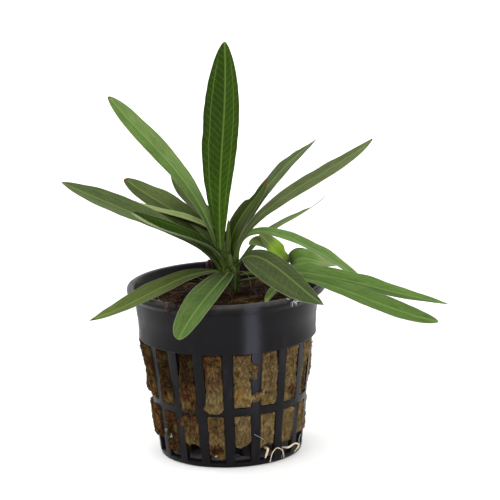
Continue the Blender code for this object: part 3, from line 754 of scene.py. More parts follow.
def build_pot():
    """The pot's wall as cells round the axis and up from the floor's middle, with slots left out."""
    columns = pot_columns()
    count, depth = len(columns), len(POT_ROWS)
    points = [round_pot(row[side][0], angle, row[side][1])
              for side in (0, 1) for row in POT_ROWS for angle, _, _ in columns]
    faces = []

    def add(row, column, *sides):
        """Adds sides of one cell."""
        around = ((row, column), (row, column + 1), (row + 1, column + 1), (row + 1, column))
        corners = [(side * depth + up) * count + on % count for side in (0, 1) for up, on in around]
        faces.extend([corners[k] for k in side] for side in sides)

    def is_open(row, column):
        _, slot, rib = columns[column % count]
        return slot and (row in SLOT_ROWS or (row == DRAIN_ROW and rib % 2 == 0))

    for row in range(depth - 1):
        for column in range(count):
            if not is_open(row, column):
                add(row, column, OUTSIDE, INSIDE,
                    *(side for up, on, side in BESIDE if is_open(row + up, column + on)))
    for column in range(count):
        add(depth - 2, column, UPPER)
        if is_open(DRAIN_ROW, column):
            add(DRAIN_ROW, column, DRAIN_EDGE)
    faces += [list(reversed(range(count))), list(range(depth * count, (depth + 1) * count))]
    look = settings("pot")
    pot = add_mesh("net_pot_moulded", points, faces, pot_finish(look), ("net_pot",))
    rounding = pot.modifiers.new("rounding", "BEVEL")
    rounding.width = look.rounding
    rounding.segments = 2
    rounding.limit_method = "ANGLE"
    rounding.angle_limit = SHARP


# ---------------------------------------------------------------- the wool

WOOL_COLUMNS = 648
WOOL_SIDE_ROWS = 96
WOOL_TOP_ROWS = 22
WOOL_FEET = {-160: 5.5, -140: 3.2, -120: 5.8, -100: 2.4, -80: 6.0, -60: 5.0, -40: 4.6, -20: 5.6}
USUAL_WOOL_FOOT = 4.2
WOOL_EDGE_RADIUS = BAND_TOP_RADIUS - WALL - 0.9
WOOL_MIDDLE_RADIUS = 0.6
WOOL_ROW_HEIGHT = 0.43  # about
WOOL_COLUMN_WIDTH = 0.22  # about
UNDER_RADII = np.array([[1.0], [12.0]])  # rings of points under the wool
FOOT_TAPER = 1.4  # how far the wool draws in at its foot, over the same height
FIBRE_SEED = 11
FIBRE_ROWS = (2, WOOL_SIDE_ROWS - 26)  # where fibres start, as rows of the wool's side


class Tuft(NamedTuple):
    """Wool that swells over a rib or the ring: its middle, its half widths, and how far it stands out."""

    angle: float
    height: float
    wide: float
    tall: float
    out: float


TUFTS = (
    Tuft(-74.0, 28.3, 8.0, 3.7, 0.55),
    Tuft(-70.0, 20.4, 10.0, 1.9, 0.5),
    Tuft(-121.0, 17.6, 9.5, 3.2, 0.6),
    Tuft(-101.5, 17.6, 10.5, 2.3, 0.65),
    Tuft(-128.0, 13.0, 5.0, 2.0, 0.3),
    Tuft(62, 22.0, 9.0, 2.5, 0.6),
    Tuft(110, 16.8, 9.5, 2.3, 0.7),
    Tuft(20, 26.0, 8.0, 2.3, 0.5),
)
HOLLOWS = (
    # where the wool sits back behind its slot; its colour there is also painted darker, as shade
    Tuft(-131, 30.0, 7.0, 6.5, -0.8),
    Tuft(-115, 30.0, 7.0, 6.0, -0.7),
    Tuft(-140, 28.5, 9.0, 6.0, -1.5),
    Tuft(-121, 30.5, 8.0, 4.0, -0.9),
    Tuft(-19, 22.0, 4.0, 6.5, -1.4),
    Tuft(-141, 8.0, 8.0, 3.0, -0.8),
    Tuft(-101, 5.0, 5.0, 1.6, -0.3),
    Tuft(80, 27.0, 7.0, 5.0, -1.2),
    Tuft(140, 9.0, 7.0, 4.0, -0.9),
)
WET_PATCH = Tuft(-40, 20.6, 5.5, 2.2, 0)
DRY_PLACES = (
    # here the last figure says how dry the wool is
    Tuft(-104, 18.5, 8.0, 4.0, 0.5),
    Tuft(-99, 26.0, 6.0, 7.0, 0.2),
    Tuft(-80, 24.0, 7.0, 8.0, 0.35),
    Tuft(-121, 18.6, 5.0, 2.2, 0.3),
    Tuft(-120, 8.0, 6.0, 3.0, 0.2),
    Tuft(-165, 24.0, 8.0, 6.0, 0.5),
)


def apart(angle, other):
    """Degrees between two directions."""
    return np.abs((angle - other + 180) % 360 - 180)


def bell(angle, height, tuft):
    """1 at a tuft's middle, fading to 0 round it."""
    far = (apart(angle, tuft.angle) / tuft.wide) ** 2 + ((height - tuft.height) / tuft.tall) ** 2
    return np.exp(-far * 1.3)


def wool_swell(angle, height):
    """How far the wool stands out of a slot, lumpy round the pot and fuller on the right."""
    turn = np.radians(angle)
    waves = 0.35 * np.sin(5 * turn + 0.31 * height) + 0.25 * np.sin(11 * turn - 0.5 * height + 1.0)
    return PAD_BULGE - 0.35 + 0.6 * waves - 0.35 * np.cos(turn)


def wool_top(angle, radius):
    """Height of the wool's upper side: level under the crown, lower towards the left wall."""
    out = np.maximum(0.0, radius - WOOL_REST_RADIUS) / (BAND_TOP_RADIUS - WOOL_REST_RADIUS)
    turn = np.radians(angle)
    return WOOL_TOP + out * (1.4 * np.cos(turn + 0.9) - 0.6 + 0.5 * np.sin(3 * turn))


def wool_foot(angle):
    """Height where the wool ends above the pot's floor, slot by slot."""
    height = np.full(np.shape(angle), USUAL_WOOL_FOOT)
    for middle, foot in WOOL_FEET.items():
        height += (foot - USUAL_WOOL_FOOT) * smooth_step(10.5, 9.0, apart(angle, middle))
    return height + 0.5 * np.sin(np.radians(angle) * 23)


def wetness_and_shade(angle, height):
    """How wet and stained the wool is: most on the left and inside the band, and raised in the hollows as
    painted shade where the wool sits back.
    """
    turn = np.radians(angle)
    wet = 0.50 - 0.48 * np.cos(turn - 0.1) + 0.012 * (height - 16)
    # painted shade in the hollows
    for hollow in HOLLOWS:
        wet = wet + 1.1 * bell(angle, height, hollow)
    wet = wet + 0.7 * bell(angle, height, WET_PATCH)
    wet = wet + smooth_step(36, 42, height) * (0.55 - 0.3 * np.cos(turn))
    for dry in DRY_PLACES:
        wet = wet - dry.out * bell(angle, height, dry)
    return np.clip(wet, 0.0, 1.6)


def wool_side(angle, height):
    """Radius of the wool's side, without its lumps, and how open the wall is there."""
    nearest = apart((angle - RIB_TURN + 90) % SLOT_PITCH, 0)
    nearest = np.minimum(nearest, SLOT_PITCH - nearest)
    between_ribs = smooth_step(RIB_HALF_ANGLE - 0.4, RIB_HALF_ANGLE + 0.9, nearest)
    above_ring = smooth_step(RING_TOP - 0.2, RING_TOP + 0.4, height)
    above_ring *= smooth_step(BAND_FOOT_HEIGHT + 0.2, BAND_FOOT_HEIGHT - 0.5, height)
    below_ring = smooth_step(RING_FOOT + 0.2, RING_FOOT - 0.4, height)
    is_open = between_ribs * np.maximum(above_ring, below_ring)
    wall = np.where(height < BAND_FOOT_HEIGHT, rib_radius(height),
                    blend(RIB_TOP_RADIUS, BAND_TOP_RADIUS - 0.9, (height - BAND_FOOT_HEIGHT) / 12))
    swell = wool_swell(angle, height)
    for hollow in HOLLOWS:
        swell = swell + hollow.out * bell(angle, height, hollow)
    radius = wall - WALL - GAP + is_open * (WALL + GAP + swell)
    ragged = lumps(ring_points(wall, np.radians(angle), height), 1.5, 9)
    for tuft in TUFTS:
        share = bell(angle, height, tuft) * (1 + 0.55 * ragged)
        cover = smooth_step(0.38, 0.66, share)
        radius = radius + cover * np.maximum(0.0, wall + tuft.out - radius)
        is_open = np.maximum(is_open, cover)
    return radius, is_open


def build_wool():
    """The wool fills the pot and swells through its slots. Gives the points of its side and of its top."""
    angle = np.arange(WOOL_COLUMNS) * 360 / WOOL_COLUMNS
    turn = np.radians(angle)
    foot = wool_foot(angle)
    share = np.linspace(0, 1, WOOL_SIDE_ROWS)[:, None]
    height = foot + (wool_top(angle, WOOL_EDGE_RADIUS) - foot) * share
    radius, is_open = wool_side(angle, height)
    radius -= FOOT_TAPER * smooth_step(FOOT_TAPER, 0.0, height - foot)
    place = ring_points(radius, turn, height * 0.5)
    small = lumps(place, 0.5, 3)
    shape = 0.36 * lumps(place, 2.8, 1) + 0.26 * (1 - 2 * np.abs(lumps(place, 1.2, 2))) + 0.34 * small
    radius += shape * (0.15 + 0.85 * is_open) - 0.1 * is_open
    side = ring_points(radius, turn, height)

    top_radius = np.linspace(WOOL_EDGE_RADIUS, WOOL_MIDDLE_RADIUS, WOOL_TOP_ROWS)[:, None]
    level = ring_points(top_radius, turn, wool_top(angle, top_radius))
    top_shape = 0.7 * lumps(level, 3.4, 4) + 0.35 * lumps(level, 1.3, 5)
    level[..., 2] += top_shape * smooth_step(0.0, 2.0, WOOL_EDGE_RADIUS - top_radius)

    under = ring_points(UNDER_RADII, turn, foot + 0.4)
    rings = np.concatenate([under, side, level[1:]])
    none = np.zeros((len(under), WOOL_COLUMNS))
    wet = np.concatenate([none + 1, wetness_and_shade(angle, height), np.ones(level[1:].shape[:2])])
    # the tone follows the relief: painted light on the high lumps, painted shade in the dips and where ribs
    # and ring cover the wool
    tone = np.concatenate([none, 0.5 + 1.1 * shape + 0.35 * small - 0.25 * (1 - is_open),
                           -0.05 + 0.40 * top_shape[1:]])
    add_mesh("wool_plug_matted", rings, round_faces(len(rings), WOOL_COLUMNS),
             wool_finish("matted_wool", settings("wool"), True), ("wool_plug",),
             {"wet": wet.ravel(), "tone": np.clip(tone, 0, 1).ravel()})
    return side, level


class Strands(NamedTuple):
    """Loose strands of one kind on the wool's side."""

    name: str
    share: float  # of the number of fibres
    steps: int
    long: tuple  # shortest and longest
    lift: float  # how far the middle stands off the wool
    slant: float  # how much their headings differ from upright
    thick: float  # beside the fibre's usual thickness
    tone: float


STRANDS = (
    Strands("wool_strands", 1.0, 6, (1.2, 4.4), 0.34, 0.6, 1.0, 0.66),
    Strands("wool_fuzz", 1.3, 4, (0.4, 1.6), 0.45, 1.6, 0.9, 0.88),
)


def build_fibres(side, kind, seed):
    """Strands that lie matted on the wool's side, or stand off it as fuzz."""
    look = settings("wool")
    rng = np.random.default_rng(seed)
    count = int(look.fibres * kind.share)
    row = rng.uniform(*FIBRE_ROWS, count)
    column = rng.uniform(0, WOOL_COLUMNS, count)
    heading = rng.normal(0.0, kind.slant, count)
    turned = rng.normal(0.0, 0.3, count)
    length = rng.uniform(*kind.long, count)
    lift = rng.uniform(0.0, kind.lift, count)
    paths = []
    for k in range(kind.steps):
        level = np.clip(row, 0, WOOL_SIDE_ROWS - 1)
        low = np.minimum(level.astype(int), WOOL_SIDE_ROWS - 2)
        part = (level - low)[:, None]
        across = column.astype(int) % WOOL_COLUMNS
        point = side[low, across] * (1 - part) + side[low + 1, across] * part
        outward = point * np.array([1, 1, 0])
        outward /= np.linalg.norm(outward, axis=1, keepdims=True)
        arch = math.sin(math.pi * k / (kind.steps - 1))
        paths.append(point + outward * (0.05 + lift * arch)[:, None])
        heading = heading + turned
        row = row + np.cos(heading) * length / kind.steps / WOOL_ROW_HEIGHT
        column = column + np.sin(heading) * length / kind.steps / WOOL_COLUMN_WIDTH
    paths = np.stack(paths, axis=1)
    middle = paths[:, kind.steps // 2]
    angle = np.degrees(np.arctan2(middle[:, 1], middle[:, 0]))
    _, is_open = wool_side(angle, middle[:, 2])
    keep = is_open > 0.6
    paths = paths[keep]
    taper = np.interp(np.linspace(0, 1, kind.steps), (0, 0.2, 0.7, 1), (0.5, 1, 1, 0.35))
    radii = taper * kind.thick * (look.thickness / MM) * rng.uniform(0.6, 1.4, (len(paths), 1))
    wet = np.clip(wetness_and_shade(angle[keep], middle[keep, 2]) + rng.normal(-0.05, 0.16, len(paths)), 0, 1)
    tone = np.clip(rng.normal(kind.tone, 0.3, len(paths)), 0, 1)
    finish = wool_finish(kind.name.removeprefix("wool_") + "_wool", look, False)
    add_threads(kind.name, paths, radii, 3, finish, "wool", wet=wet, tone=tone)


# ---------------------------------------------------------------- crown and shoot

STEM_SIDES = 60


def crown_radius(height):
    """The crown narrows from its foot in the wool to the growing tip."""
    share = (height - CROWN_FOOT) / (CROWN_TOP - CROWN_FOOT)
    return CROWN_RADIUS * math.sqrt(1 - 0.85 * share**2)


def sheathed_stem(name, rings, axis, sheaths, finish, node):
    """A stem of overlapping leaf sheaths from (radius, height) pairs, closed at its rounded tip."""
    turn = full_turn(STEM_SIDES)
    rows = []
    for radius, height in rings:
        swirl = turn * sheaths + height * 0.35
        edge = 0.10 * np.abs(np.sin(swirl / 2)) - 0.05 + 0.04 * np.sin(turn * 3 + height)
        rows.append(ring_points(radius * (1 + edge), turn, height) + (*axis, 0.0))
    add_mesh(name, rows, round_faces(len(rows), STEM_SIDES), finish, (node,))


def build_stems():
    """The crown and the side shoot's stem."""
    finish = stem_finish()
    heights = np.linspace(CROWN_FOOT - 0.6, CROWN_TOP, 30)
    rings = [(crown_radius(max(z, CROWN_FOOT)), z) for z in heights]
    rings += [(crown_radius(CROWN_TOP) * part, CROWN_TOP + lift) for part, lift in ((0.8, 0.3), (0.4, 0.5))]
    sheathed_stem("crown_sheathed", rings, (CROWN_X, 0), 6, finish, "crown")
    knots = ((SHOOT_RADIUS, CROWN_FOOT), (SHOOT_RADIUS * 0.8, 48.5), (SHOOT_RADIUS * 0.45, SHOOT_TOP))
    rings = []
    for (low_radius, low), (high_radius, high) in zip(knots, knots[1:]):
        rings += [(blend(low_radius, high_radius, k / 8), blend(low, high, k / 8)) for k in range(8)]
    rings += [(knots[-1][0], SHOOT_TOP), (knots[-1][0] * 0.5, SHOOT_TOP + 0.25)]
    sheathed_stem("shoot_stem_sheathed", rings, (SHOOT_X, SHOOT_Y), 4, finish, "shoot_stem")


# ---------------------------------------------------------------- leaves

def stem_axis(leaf):
    return (CROWN_X, 0.0) if leaf.stem == "crown" else (SHOOT_X, SHOOT_Y)


def leaf_curve(leaf):
    """The midrib as four control points, and the level direction across it."""
    heading = round_pot(1, leaf.heading, 0)
    across = Vector((-heading.y, heading.x, 0))
    foot_angle = leaf.heading + leaf.foot_turn
    if leaf.start > CROWN_TOP:
        foot = Vector((CROWN_X, 0, leaf.start))
    else:
        stem_radius = crown_radius(leaf.start) if leaf.stem == "crown" else SHOOT_RADIUS
        foot = round_pot(stem_radius + GAP + STALK_THICKNESS / 2, foot_angle, leaf.start)
        foot += Vector((*stem_axis(leaf), 0))
    up = Vector((0, 0, 1))
    tip = foot + heading * leaf.reach + up * leaf.lift
    span = (tip - foot).length
    rise, fall = math.radians(leaf.rise), math.radians(leaf.fall)
    near = foot + (heading * math.cos(rise) + up * math.sin(rise)) * (leaf.spring * span)
    near += across * leaf.bow * 2
    far = tip - (heading * math.cos(fall) + up * math.sin(fall)) * (TIP_HOLD * span)
    far += across * (leaf.bow * 0.7 + leaf.lean)
    return [np.array(p) for p in (foot, near, far, tip, across)]


def unit(vectors):
    return vectors / (np.linalg.norm(vectors, axis=-1, keepdims=True) + 1e-12)


def on_curve(curve, t):
    """Points and directions on the midrib at each t, from 0 at the foot to 1 at the tip."""
    a, b, c, d = curve[:4]
    t = t[:, None]
    s = 1 - t
    point = a * s**3 + b * (3 * s * s * t) + c * (3 * s * t * t) + d * t**3
    along = (b - a) * (3 * s * s) + (c - b) * (6 * s * t) + (d - c) * (3 * t * t)
    return point, unit(along)


def blade_half_width(leaf, t):
    """Half the leaf's width at t: a narrow stalk that widens into a lance-shaped blade."""
    tail = leaf.blunt * leaf.widest / (1 - leaf.widest)
    peak = leaf.widest**tail * (1 - leaf.widest) ** leaf.blunt
    opened = np.clip((t - leaf.stalk) / (1 - leaf.stalk), 0.0, 1.0)
    blade = leaf.width / 2 * (opened**tail * (1 - opened) ** leaf.blunt) / peak
    if leaf.wiry:
        wire = smooth_step(1 - leaf.wiry - 0.08, 1 - leaf.wiry, t)
        blade = blend(blade, 0.22 * np.sqrt(1 - t), wire)
    return np.hypot(blade, STALK_WIDTH / 2 * (1 - t) ** 2 * (1 - 0.5 * t))


ACROSS = np.array([-1, -0.97, -0.9, -0.8, -0.68, -0.56, -0.44, -0.32, -0.2, -0.1, -0.04, 0])
ACROSS = np.concatenate([ACROSS, -ACROSS[-2::-1]])
STATION_PITCH = 0.42
FEWEST_STATIONS, MOST_STATIONS = 26, 170
LAST_STATION = 0.9985  # the tip's own point closes the blade
SHEATH_LENGTHS = (3.2, 2.4, 1.6, 0.9, 0.3)  # below the foot
SHOOT_FOOT_WIDTH = 1.4
CLASP = 3.0  # how far above the foot a leaf still clasps its stem


class Blade(NamedTuple):
    """A leaf's surface: rows from sheath to tip, and columns across."""

    upper: np.ndarray
    lower: np.ndarray
    t: np.ndarray
    gone: np.ndarray  # length along the midrib
    half: np.ndarray
    tip: np.ndarray


def leaf_shape(leaf, number, pitch):
    """The blade, with grooved midrib, sunk side veins, waved margins and a foot that clasps the stem."""
    curve = leaf_curve(leaf)
    coarse = on_curve(curve, np.linspace(0, 1, 60))[0]
    length = np.linalg.norm(np.diff(coarse, axis=0), axis=1).sum()
    stations = int(np.clip(length / STATION_PITCH, FEWEST_STATIONS, MOST_STATIONS))
    share = np.linspace(0, 1, stations)
    t = 1 - (1 - share) ** 1.25
    t[-1] = LAST_STATION
    point, along = on_curve(curve, t)
    side = unit(curve[4] - along * (along @ curve[4])[:, None])
    normal = np.cross(along, side)
    roll = np.radians(leaf.roll + leaf.twist * t)[:, None]
    side, normal = side * np.cos(roll) + normal * np.sin(roll), normal * np.cos(roll) - side * np.sin(roll)
    gone = np.concatenate([[0], np.cumsum(np.linalg.norm(np.diff(point, axis=0), axis=1))])
    half = blade_half_width(leaf, t)
    foot = leaf.foot_width if leaf.stem == "crown" else SHOOT_FOOT_WIDTH
    half = np.hypot(half, (foot - STALK_WIDTH) / 2 * smooth_step(5.5, 0.0, gone))
    thick = blend(STALK_THICKNESS, LEAF_THICKNESS, np.minimum(1.0, t * 4)) * (1 - 0.5 * t)

    # the sheath turns with the stem's side, and the stalk grows out of it
    inward = np.append(stem_axis(leaf) - curve[0][:2], 0.0)
    if leaf.start < CROWN_TOP:
        inward = unit(inward)
        round_stem = np.array([-inward[1], inward[0], 0.0])
        round_stem *= np.sign(round_stem @ side[0]) or 1.0
        reach = np.array(SHEATH_LENGTHS)
        below = [curve[0] + np.array([0, 0, -0.85 * far]) + inward * 0.35 * min(far, 1.2) for far in reach]
        count = len(reach)
        point = np.concatenate([below, point])
        side = np.concatenate([np.repeat(side[:1], count, 0), side])
        normal = np.concatenate([np.repeat(normal[:1], count, 0), normal])
        half = np.concatenate([np.full(count, half[0]) * (1 + 0.06 * reach), half])
        thick = np.concatenate([np.full(count, thick[0] * 0.8), thick])
        gone = np.concatenate([-reach, gone])
        t = np.concatenate([np.zeros(count), t])
        free = smooth_step(-0.4, CLASP, gone)[:, None]
        side = unit(blend(round_stem, side, free))
        normal = unit(blend(inward, normal, free))
    clasp = smooth_step(5.0, 0.0, gone)[:, None]

    def ripple(size, apart_by, start):
        """Noise along the two margins, which are that far apart in it."""
        sides = np.array([[noise.noise(Vector((far / size, sign * apart_by + seed, start)))
                           for sign in (-1, 1)] for far in gone])
        return np.where(u < 0, sides[:, :1], sides[:, 1:])

    u = ACROSS[None, :]
    out = np.abs(u)
    wide = half[:, None]
    aside = out * wide
    tall = t[:, None]
    seed = number * 1.7
    waves = ripple(6.5, 3.1, seed)
    nicks = ripple(2.3, 2.7, 9.0)
    opened = smooth_step(0.1, 0.3, tall)
    width = wide * (1 + (0.035 * waves + 0.02 * nicks) * opened) * (1 + leaf.uneven * np.sign(u) * opened)
    if leaf.notch:
        at, loss = leaf.notch
        width = width * np.where(u > 0, 1 - loss * smooth_step(at - 0.012, at + 0.012, tall), 1.0)
    soft = (np.sqrt(u * u + 0.012) - 0.1095) / 0.8965
    fold = np.radians(leaf.fold) * (1 - 0.6 * clasp)
    rise = wide * soft * np.tan(fold)
    rise += wide * 0.62 * u * u * clasp
    rise += wide * 0.16 * (out - u * u) * opened
    rise += leaf.wavy * 2 * waves * u * u * smooth_step(0.15, 0.4, tall)
    flat = smooth_step(0.05, 0.22, tall)
    power = blend(2.0, 7.0, flat)
    body = thick[:, None] / 2 * np.sqrt(np.maximum(0.0, 1 - out**power)) * blend(1.0, 0.75, flat)
    groove = 0.14 * np.exp(-(aside / 0.38) ** 2) * blend(0.4, 1.0, flat) * (1 - 0.7 * tall)
    ridge = 0.20 * np.exp(-(aside / 0.45) ** 2) * flat * (1 - 0.8 * tall)
    phase = (gone[:, None] - 0.95 * aside) / pitch
    off = np.abs(phase - np.floor(phase) - 0.5)
    vein = 0.045 * np.exp(-(off / 0.13) ** 2) * flat * smooth_step(1.0, 0.8, out) * (0.3 + leaf.veins)
    middle = point[:, None] + side[:, None] * (u * width)[..., None]
    lower = middle + normal[:, None] * (rise - body - ridge - vein * 0.8)[..., None]
    upper = middle + normal[:, None] * (rise + body - groove - vein)[..., None]
    return Blade(upper, lower, t, gone, half, on_curve(curve, np.array([1.0]))[0])


def build_leaf(leaf, number, finish, look):
    """One leaf, with what its finish reads at each point."""
    blade = leaf_shape(leaf, number, look.vein_pitch / MM)
    wide = len(ACROSS)
    loop = np.concatenate([blade.upper, blade.lower[:, -2:0:-1]], axis=1)
    rows, around = loop.shape[:2]
    points = np.concatenate([loop.reshape(-1, 3), blade.tip])
    faces = round_faces(rows, around, caps=1)
    tip = rows * around
    start = tip - around
    faces += [(start + k, start + (k + 1) % around, tip) for k in range(around)]

    def down(values):
        """Values along the leaf, at every point."""
        return np.repeat(values[:, None], around, 1)

    def across(values):
        """Values across the leaf, at every point."""
        return np.broadcast_to(values, (rows, around))

    gone, half, t = down(blade.gone), down(blade.half), down(blade.t)
    u_loop = across(np.concatenate([ACROSS, ACROSS[-2:0:-1]]))
    is_upper = np.concatenate([np.ones(wide), np.zeros(around - wide)])
    is_upper[[0, wide - 1]] = 0.5
    is_upper = across(is_upper)
    browned = smooth_step(1 - 1.8 * leaf.browned, 1.0, t) if leaf.browned else 0 * t
    opened = smooth_step(0.02, 0.2, t)
    top = np.array(getattr(look, leaf.top)) * leaf.light
    under = np.array(getattr(look, leaf.under)) * leaf.light
    if leaf.far:
        top = blend(top, np.array(getattr(look, leaf.far)), smooth_step(0.5, 0.75, t)[..., None])
    green = blend(under, top, is_upper[..., None])
    # painted light and shade: the right half lighter or darker than the left, as it faces the light or lies
    # in shade
    right = smooth_step(0.05, -0.05, u_loop)[..., None]
    green = green * blend(1.0, leaf.right_half_painted_light, right)
    # painted sheen: the right half blended towards a light grey
    green = blend(green, np.array(look.grey) * 1.5, right * leaf.painted_sheen)
    # painted shade near the foot, or painted light where that is above 1
    green = green * blend(1.0, leaf.foot_painted_light, smooth_step(leaf.foot_share, 0.12, t)[..., None])
    green = blend(np.array(look.stalk), green, opened[..., None])
    traits = [is_upper, browned, np.full((rows, around), leaf.veins)]
    attributes = {"blade": np.stack([u_loop, gone, half], axis=-1).reshape(-1, 3),
                  "traits": np.stack(traits, axis=-1).reshape(-1, 3), "green": green.reshape(-1, 3)}
    attributes = {key: np.concatenate([values, values[-1:]]) for key, values in attributes.items()}
    attributes["pale_edge"] = np.append(opened.ravel(), opened[-1, 0]) * leaf.pale_edge
    add_mesh(leaf.name + "_blade", points, faces, finish, (leaf.name,), attributes)


# ---------------------------------------------------------------- roots

def build_roots():
    """The named roots, each a little uneven and tapering to its end."""
    look = settings("root")
    finishes = {
        "root_brown": root_finish("ringed_root", tuple(look.brown), (0.14, 0.055, 0.030)),
        "root_white": root_finish("new_root", tuple(look.cream), (0.56, 0.42, 0.25)),
        "root_arc": root_finish("tan_root", (0.30, 0.16, 0.095), (0.16, 0.07, 0.040)),
    }
    build_tangle(ROOTS[0])
    for number, root in enumerate(ROOTS[1:]):
        path = smooth_line(root.points, 14)
        count = len(path)
        wobble = lumps(path, 1.6, number) * 0.14 + lumps(path, 0.6, number + 20) * 0.08
        taper = np.interp(np.linspace(0, 1, count), (0, 0.85, 1), (1, 0.9, 0.45))
        radii = root.radius * taper * (1 + wobble)
        points, faces = tubes(path[None], radii[None], 14)
        finish = finishes.get(root.name, finishes[root.slot])
        add_mesh(root.name + "_grown", points, faces, finish, (root.name,))


# how loose roots are laid
INNER_WALL = 24.2  # roots that reach no farther lie on the wool
HAIR_REACH = 23.2  # how far from the axis the fine roots start
ROWS_SPAN = 24.5  # how far from the axis the search for a row of the wool's top starts
TANGLE_SEED, HAIR_SEED, FLUFF_SEED = 8, 5, 3


def build_tangle(root):
    """Old roots that lean over the rim as a loose bundle of thin strands, splayed towards their ends."""
    rng = np.random.default_rng(TANGLE_SEED)
    steps = 18
    path = smooth_line(root.points, 8)
    whole = np.linspace(0, 1, len(path))
    paths, radii = [], []
    for _ in range(settings("root").strands):
        share = np.linspace(rng.uniform(0, 0.5), rng.uniform(0.6, 1.0), steps)
        strand = np.stack([np.interp(share, whole, path[:, axis]) for axis in range(3)], axis=-1)
        drift = np.cumsum(rng.normal(0, 0.28, (steps, 3)), axis=0)
        strand += drift * (0.5 + 0.7 * share[:, None]) + rng.normal(0, 0.35, 3)
        reach = np.hypot(strand[:, 0], strand[:, 1])
        over_lip = np.where(reach < LIP_RADIUS + 0.3, POT_HEIGHT + 0.15, POT_HEIGHT - 2.6)
        low = np.where(reach < INNER_WALL, WOOL_TOP + 0.6, over_lip)
        strand[:, 2] = np.maximum(strand[:, 2], low)
        paths.append(strand)
        radii.append(rng.uniform(0.07, 0.2) * np.linspace(1, 0.4, steps))
    finish = thread_finish("old_root", ((0.0, (0.010, 0.005, 0.004)), (0.4, tuple(settings("root").brown)),
                                        (0.8, (0.07, 0.036, 0.024)), (1.0, (0.18, 0.11, 0.065))))
    add_threads(root.name + "_grown", paths, radii, 6, finish, root.slot, (root.name,),
                tone=rng.beta(1.4, 2.6, len(paths)))


def wander(rng, start, heading, length, steps, bend, droop):
    """A path that turns gently from its first heading and droops."""
    point = np.array(start, float)
    heading = unit(np.array(heading, float))
    path = [point]
    for _ in range(steps - 1):
        heading = unit(heading + rng.normal(0, bend, 3) + np.array([0, 0, -droop]))
        point = point + heading * length / (steps - 1)
        path.append(point)
    return np.array(path)


def build_fine_roots(level):
    """Hair-thin roots that lie over and stand out of the wool's top."""
    rng = np.random.default_rng(HAIR_SEED)
    steps = 9
    paths, radii, tones = [], [], []
    for _ in range(settings("root").hairs):
        angle = rng.uniform(0, 360)
        radius = HAIR_REACH * math.sqrt(rng.uniform(0.02, 1.0))
        column = int(angle * WOOL_COLUMNS / 360) % WOOL_COLUMNS
        inwards = (radius - ROWS_SPAN) / (WOOL_MIDDLE_RADIUS - ROWS_SPAN)
        row = int(np.clip(inwards * (WOOL_TOP_ROWS - 1), 0, WOOL_TOP_ROWS - 1))
        start = ring_points(radius, math.radians(angle), level[row, column, 2] + 0.05)
        out = rng.uniform(0, math.tau)
        heading = (math.cos(out), math.sin(out), rng.uniform(0.1, 1.1))
        path = wander(rng, start, heading, rng.uniform(3, 9), steps, 0.28, 0.16)
        reach = np.hypot(path[:, 0], path[:, 1])
        path[:, :2] *= np.minimum(1.0, INNER_WALL / np.maximum(reach, 1e-6))[:, None]
        path[:, 2] = np.maximum(path[:, 2], WOOL_TOP - 1.5)
        paths.append(path)
        radii.append(rng.uniform(0.05, 0.14) * np.linspace(1, 0.35, steps))
        tones.append(rng.beta(1.3, 2.2))
    finish = thread_finish("fine_root", ((0.0, (0.016, 0.007, 0.004)), (0.4, (0.055, 0.025, 0.012)),
                                         (0.75, (0.15, 0.09, 0.04)), (1.0, (0.42, 0.32, 0.18))))
    add_threads("fine_roots", paths, radii, 5, finish, "root_brown", tone=tones)


class Wisp(NamedTuple):
    """A tangle of white threads: its middle, its half size, and how many threads."""

    radius: float
    angle: float
    height: float
    size: float
    threads: int


WISPS = (
    Wisp(27.9, -47.5, 46.9, 0.85, 34),
    Wisp(27.2, -52.0, 48.0, 0.35, 8),
    Wisp(20.9, -141.0, 7.6, 0.75, 14),
    Wisp(21.2, -147.0, 9.2, 0.4, 6),
    Wisp(21.0, -100.5, 3.9, 0.4, 3),
)
LOOSE_THREADS = (
    # thin pale threads that lie over the slots, as angle and height
    ((-71.9, 9.6), (-67.8, 8.6), (-63.6, 7.4)),
    ((-46.6, 4.4), (-46.2, 2.6), (-46.9, 0.9)),
    ((-21.5, 5.4), (-24.0, 4.0), (-20.6, 2.2)),
)


def build_fluff():
    """White threads caught on the front of the lip and in slots, and pale ones that lie over slots."""
    rng = np.random.default_rng(FLUFF_SEED)
    steps = 8
    paths, radii = [], []
    for wisp in WISPS:
        middle = np.array(round_pot(wisp.radius, wisp.angle, wisp.height))
        for _ in range(wisp.threads):
            start = middle + rng.normal(0, 0.35, 3) * wisp.size * np.array([1, 1, 0.6])
            path = wander(rng, start, rng.normal(0, 1, 3), rng.uniform(0.8, 2.6) * wisp.size, steps, 0.5, 0.1)
            if middle[2] > POT_HEIGHT:
                path[:, 2] = np.maximum(path[:, 2], POT_HEIGHT + 0.05)
            paths.append(path)
            radii.append(rng.uniform(0.03, 0.07) * np.linspace(1, 0.5, steps))
    for thread in LOOSE_THREADS:
        path = smooth_line([round_pot(rib_radius(height) + 0.45, angle, height)
                            for angle, height in thread], 4)
        paths.append(path[np.linspace(0, len(path) - 1, steps).astype(int)])
        radii.append(np.full(steps, 0.04))
    finish = thread_finish("white_thread", ((0.0, (0.55, 0.55, 0.57)), (1.0, (0.85, 0.85, 0.86))))
    add_threads("rim_fluff", paths, radii, 4, finish, "root_white", tone=rng.uniform(0, 1, len(paths)))


# ---------------------------------------------------------------- the stage

CAMERA_DISTANCE = 706.0
CAMERA_PITCH = 12.98
CAMERA_ROLL = -1.77
CAMERA_TARGET = (6.99, 0.0, 56.93)
CAMERA_LENS = 182.66
FLOOR_RADIUS = 6.0  # metres, as are the next two
FLOOR_BEND = 0.8
BACKDROP_HEIGHT = 1.4
FLOOR_SIDES = 96
LAMP_ANGLE = math.radians(170)
LAMP_FROM = (-0.05, -0.14, 1.0)
BOX_AIM = 40  # height that the soft boxes face
SENSOR_WIDTH = 36.0


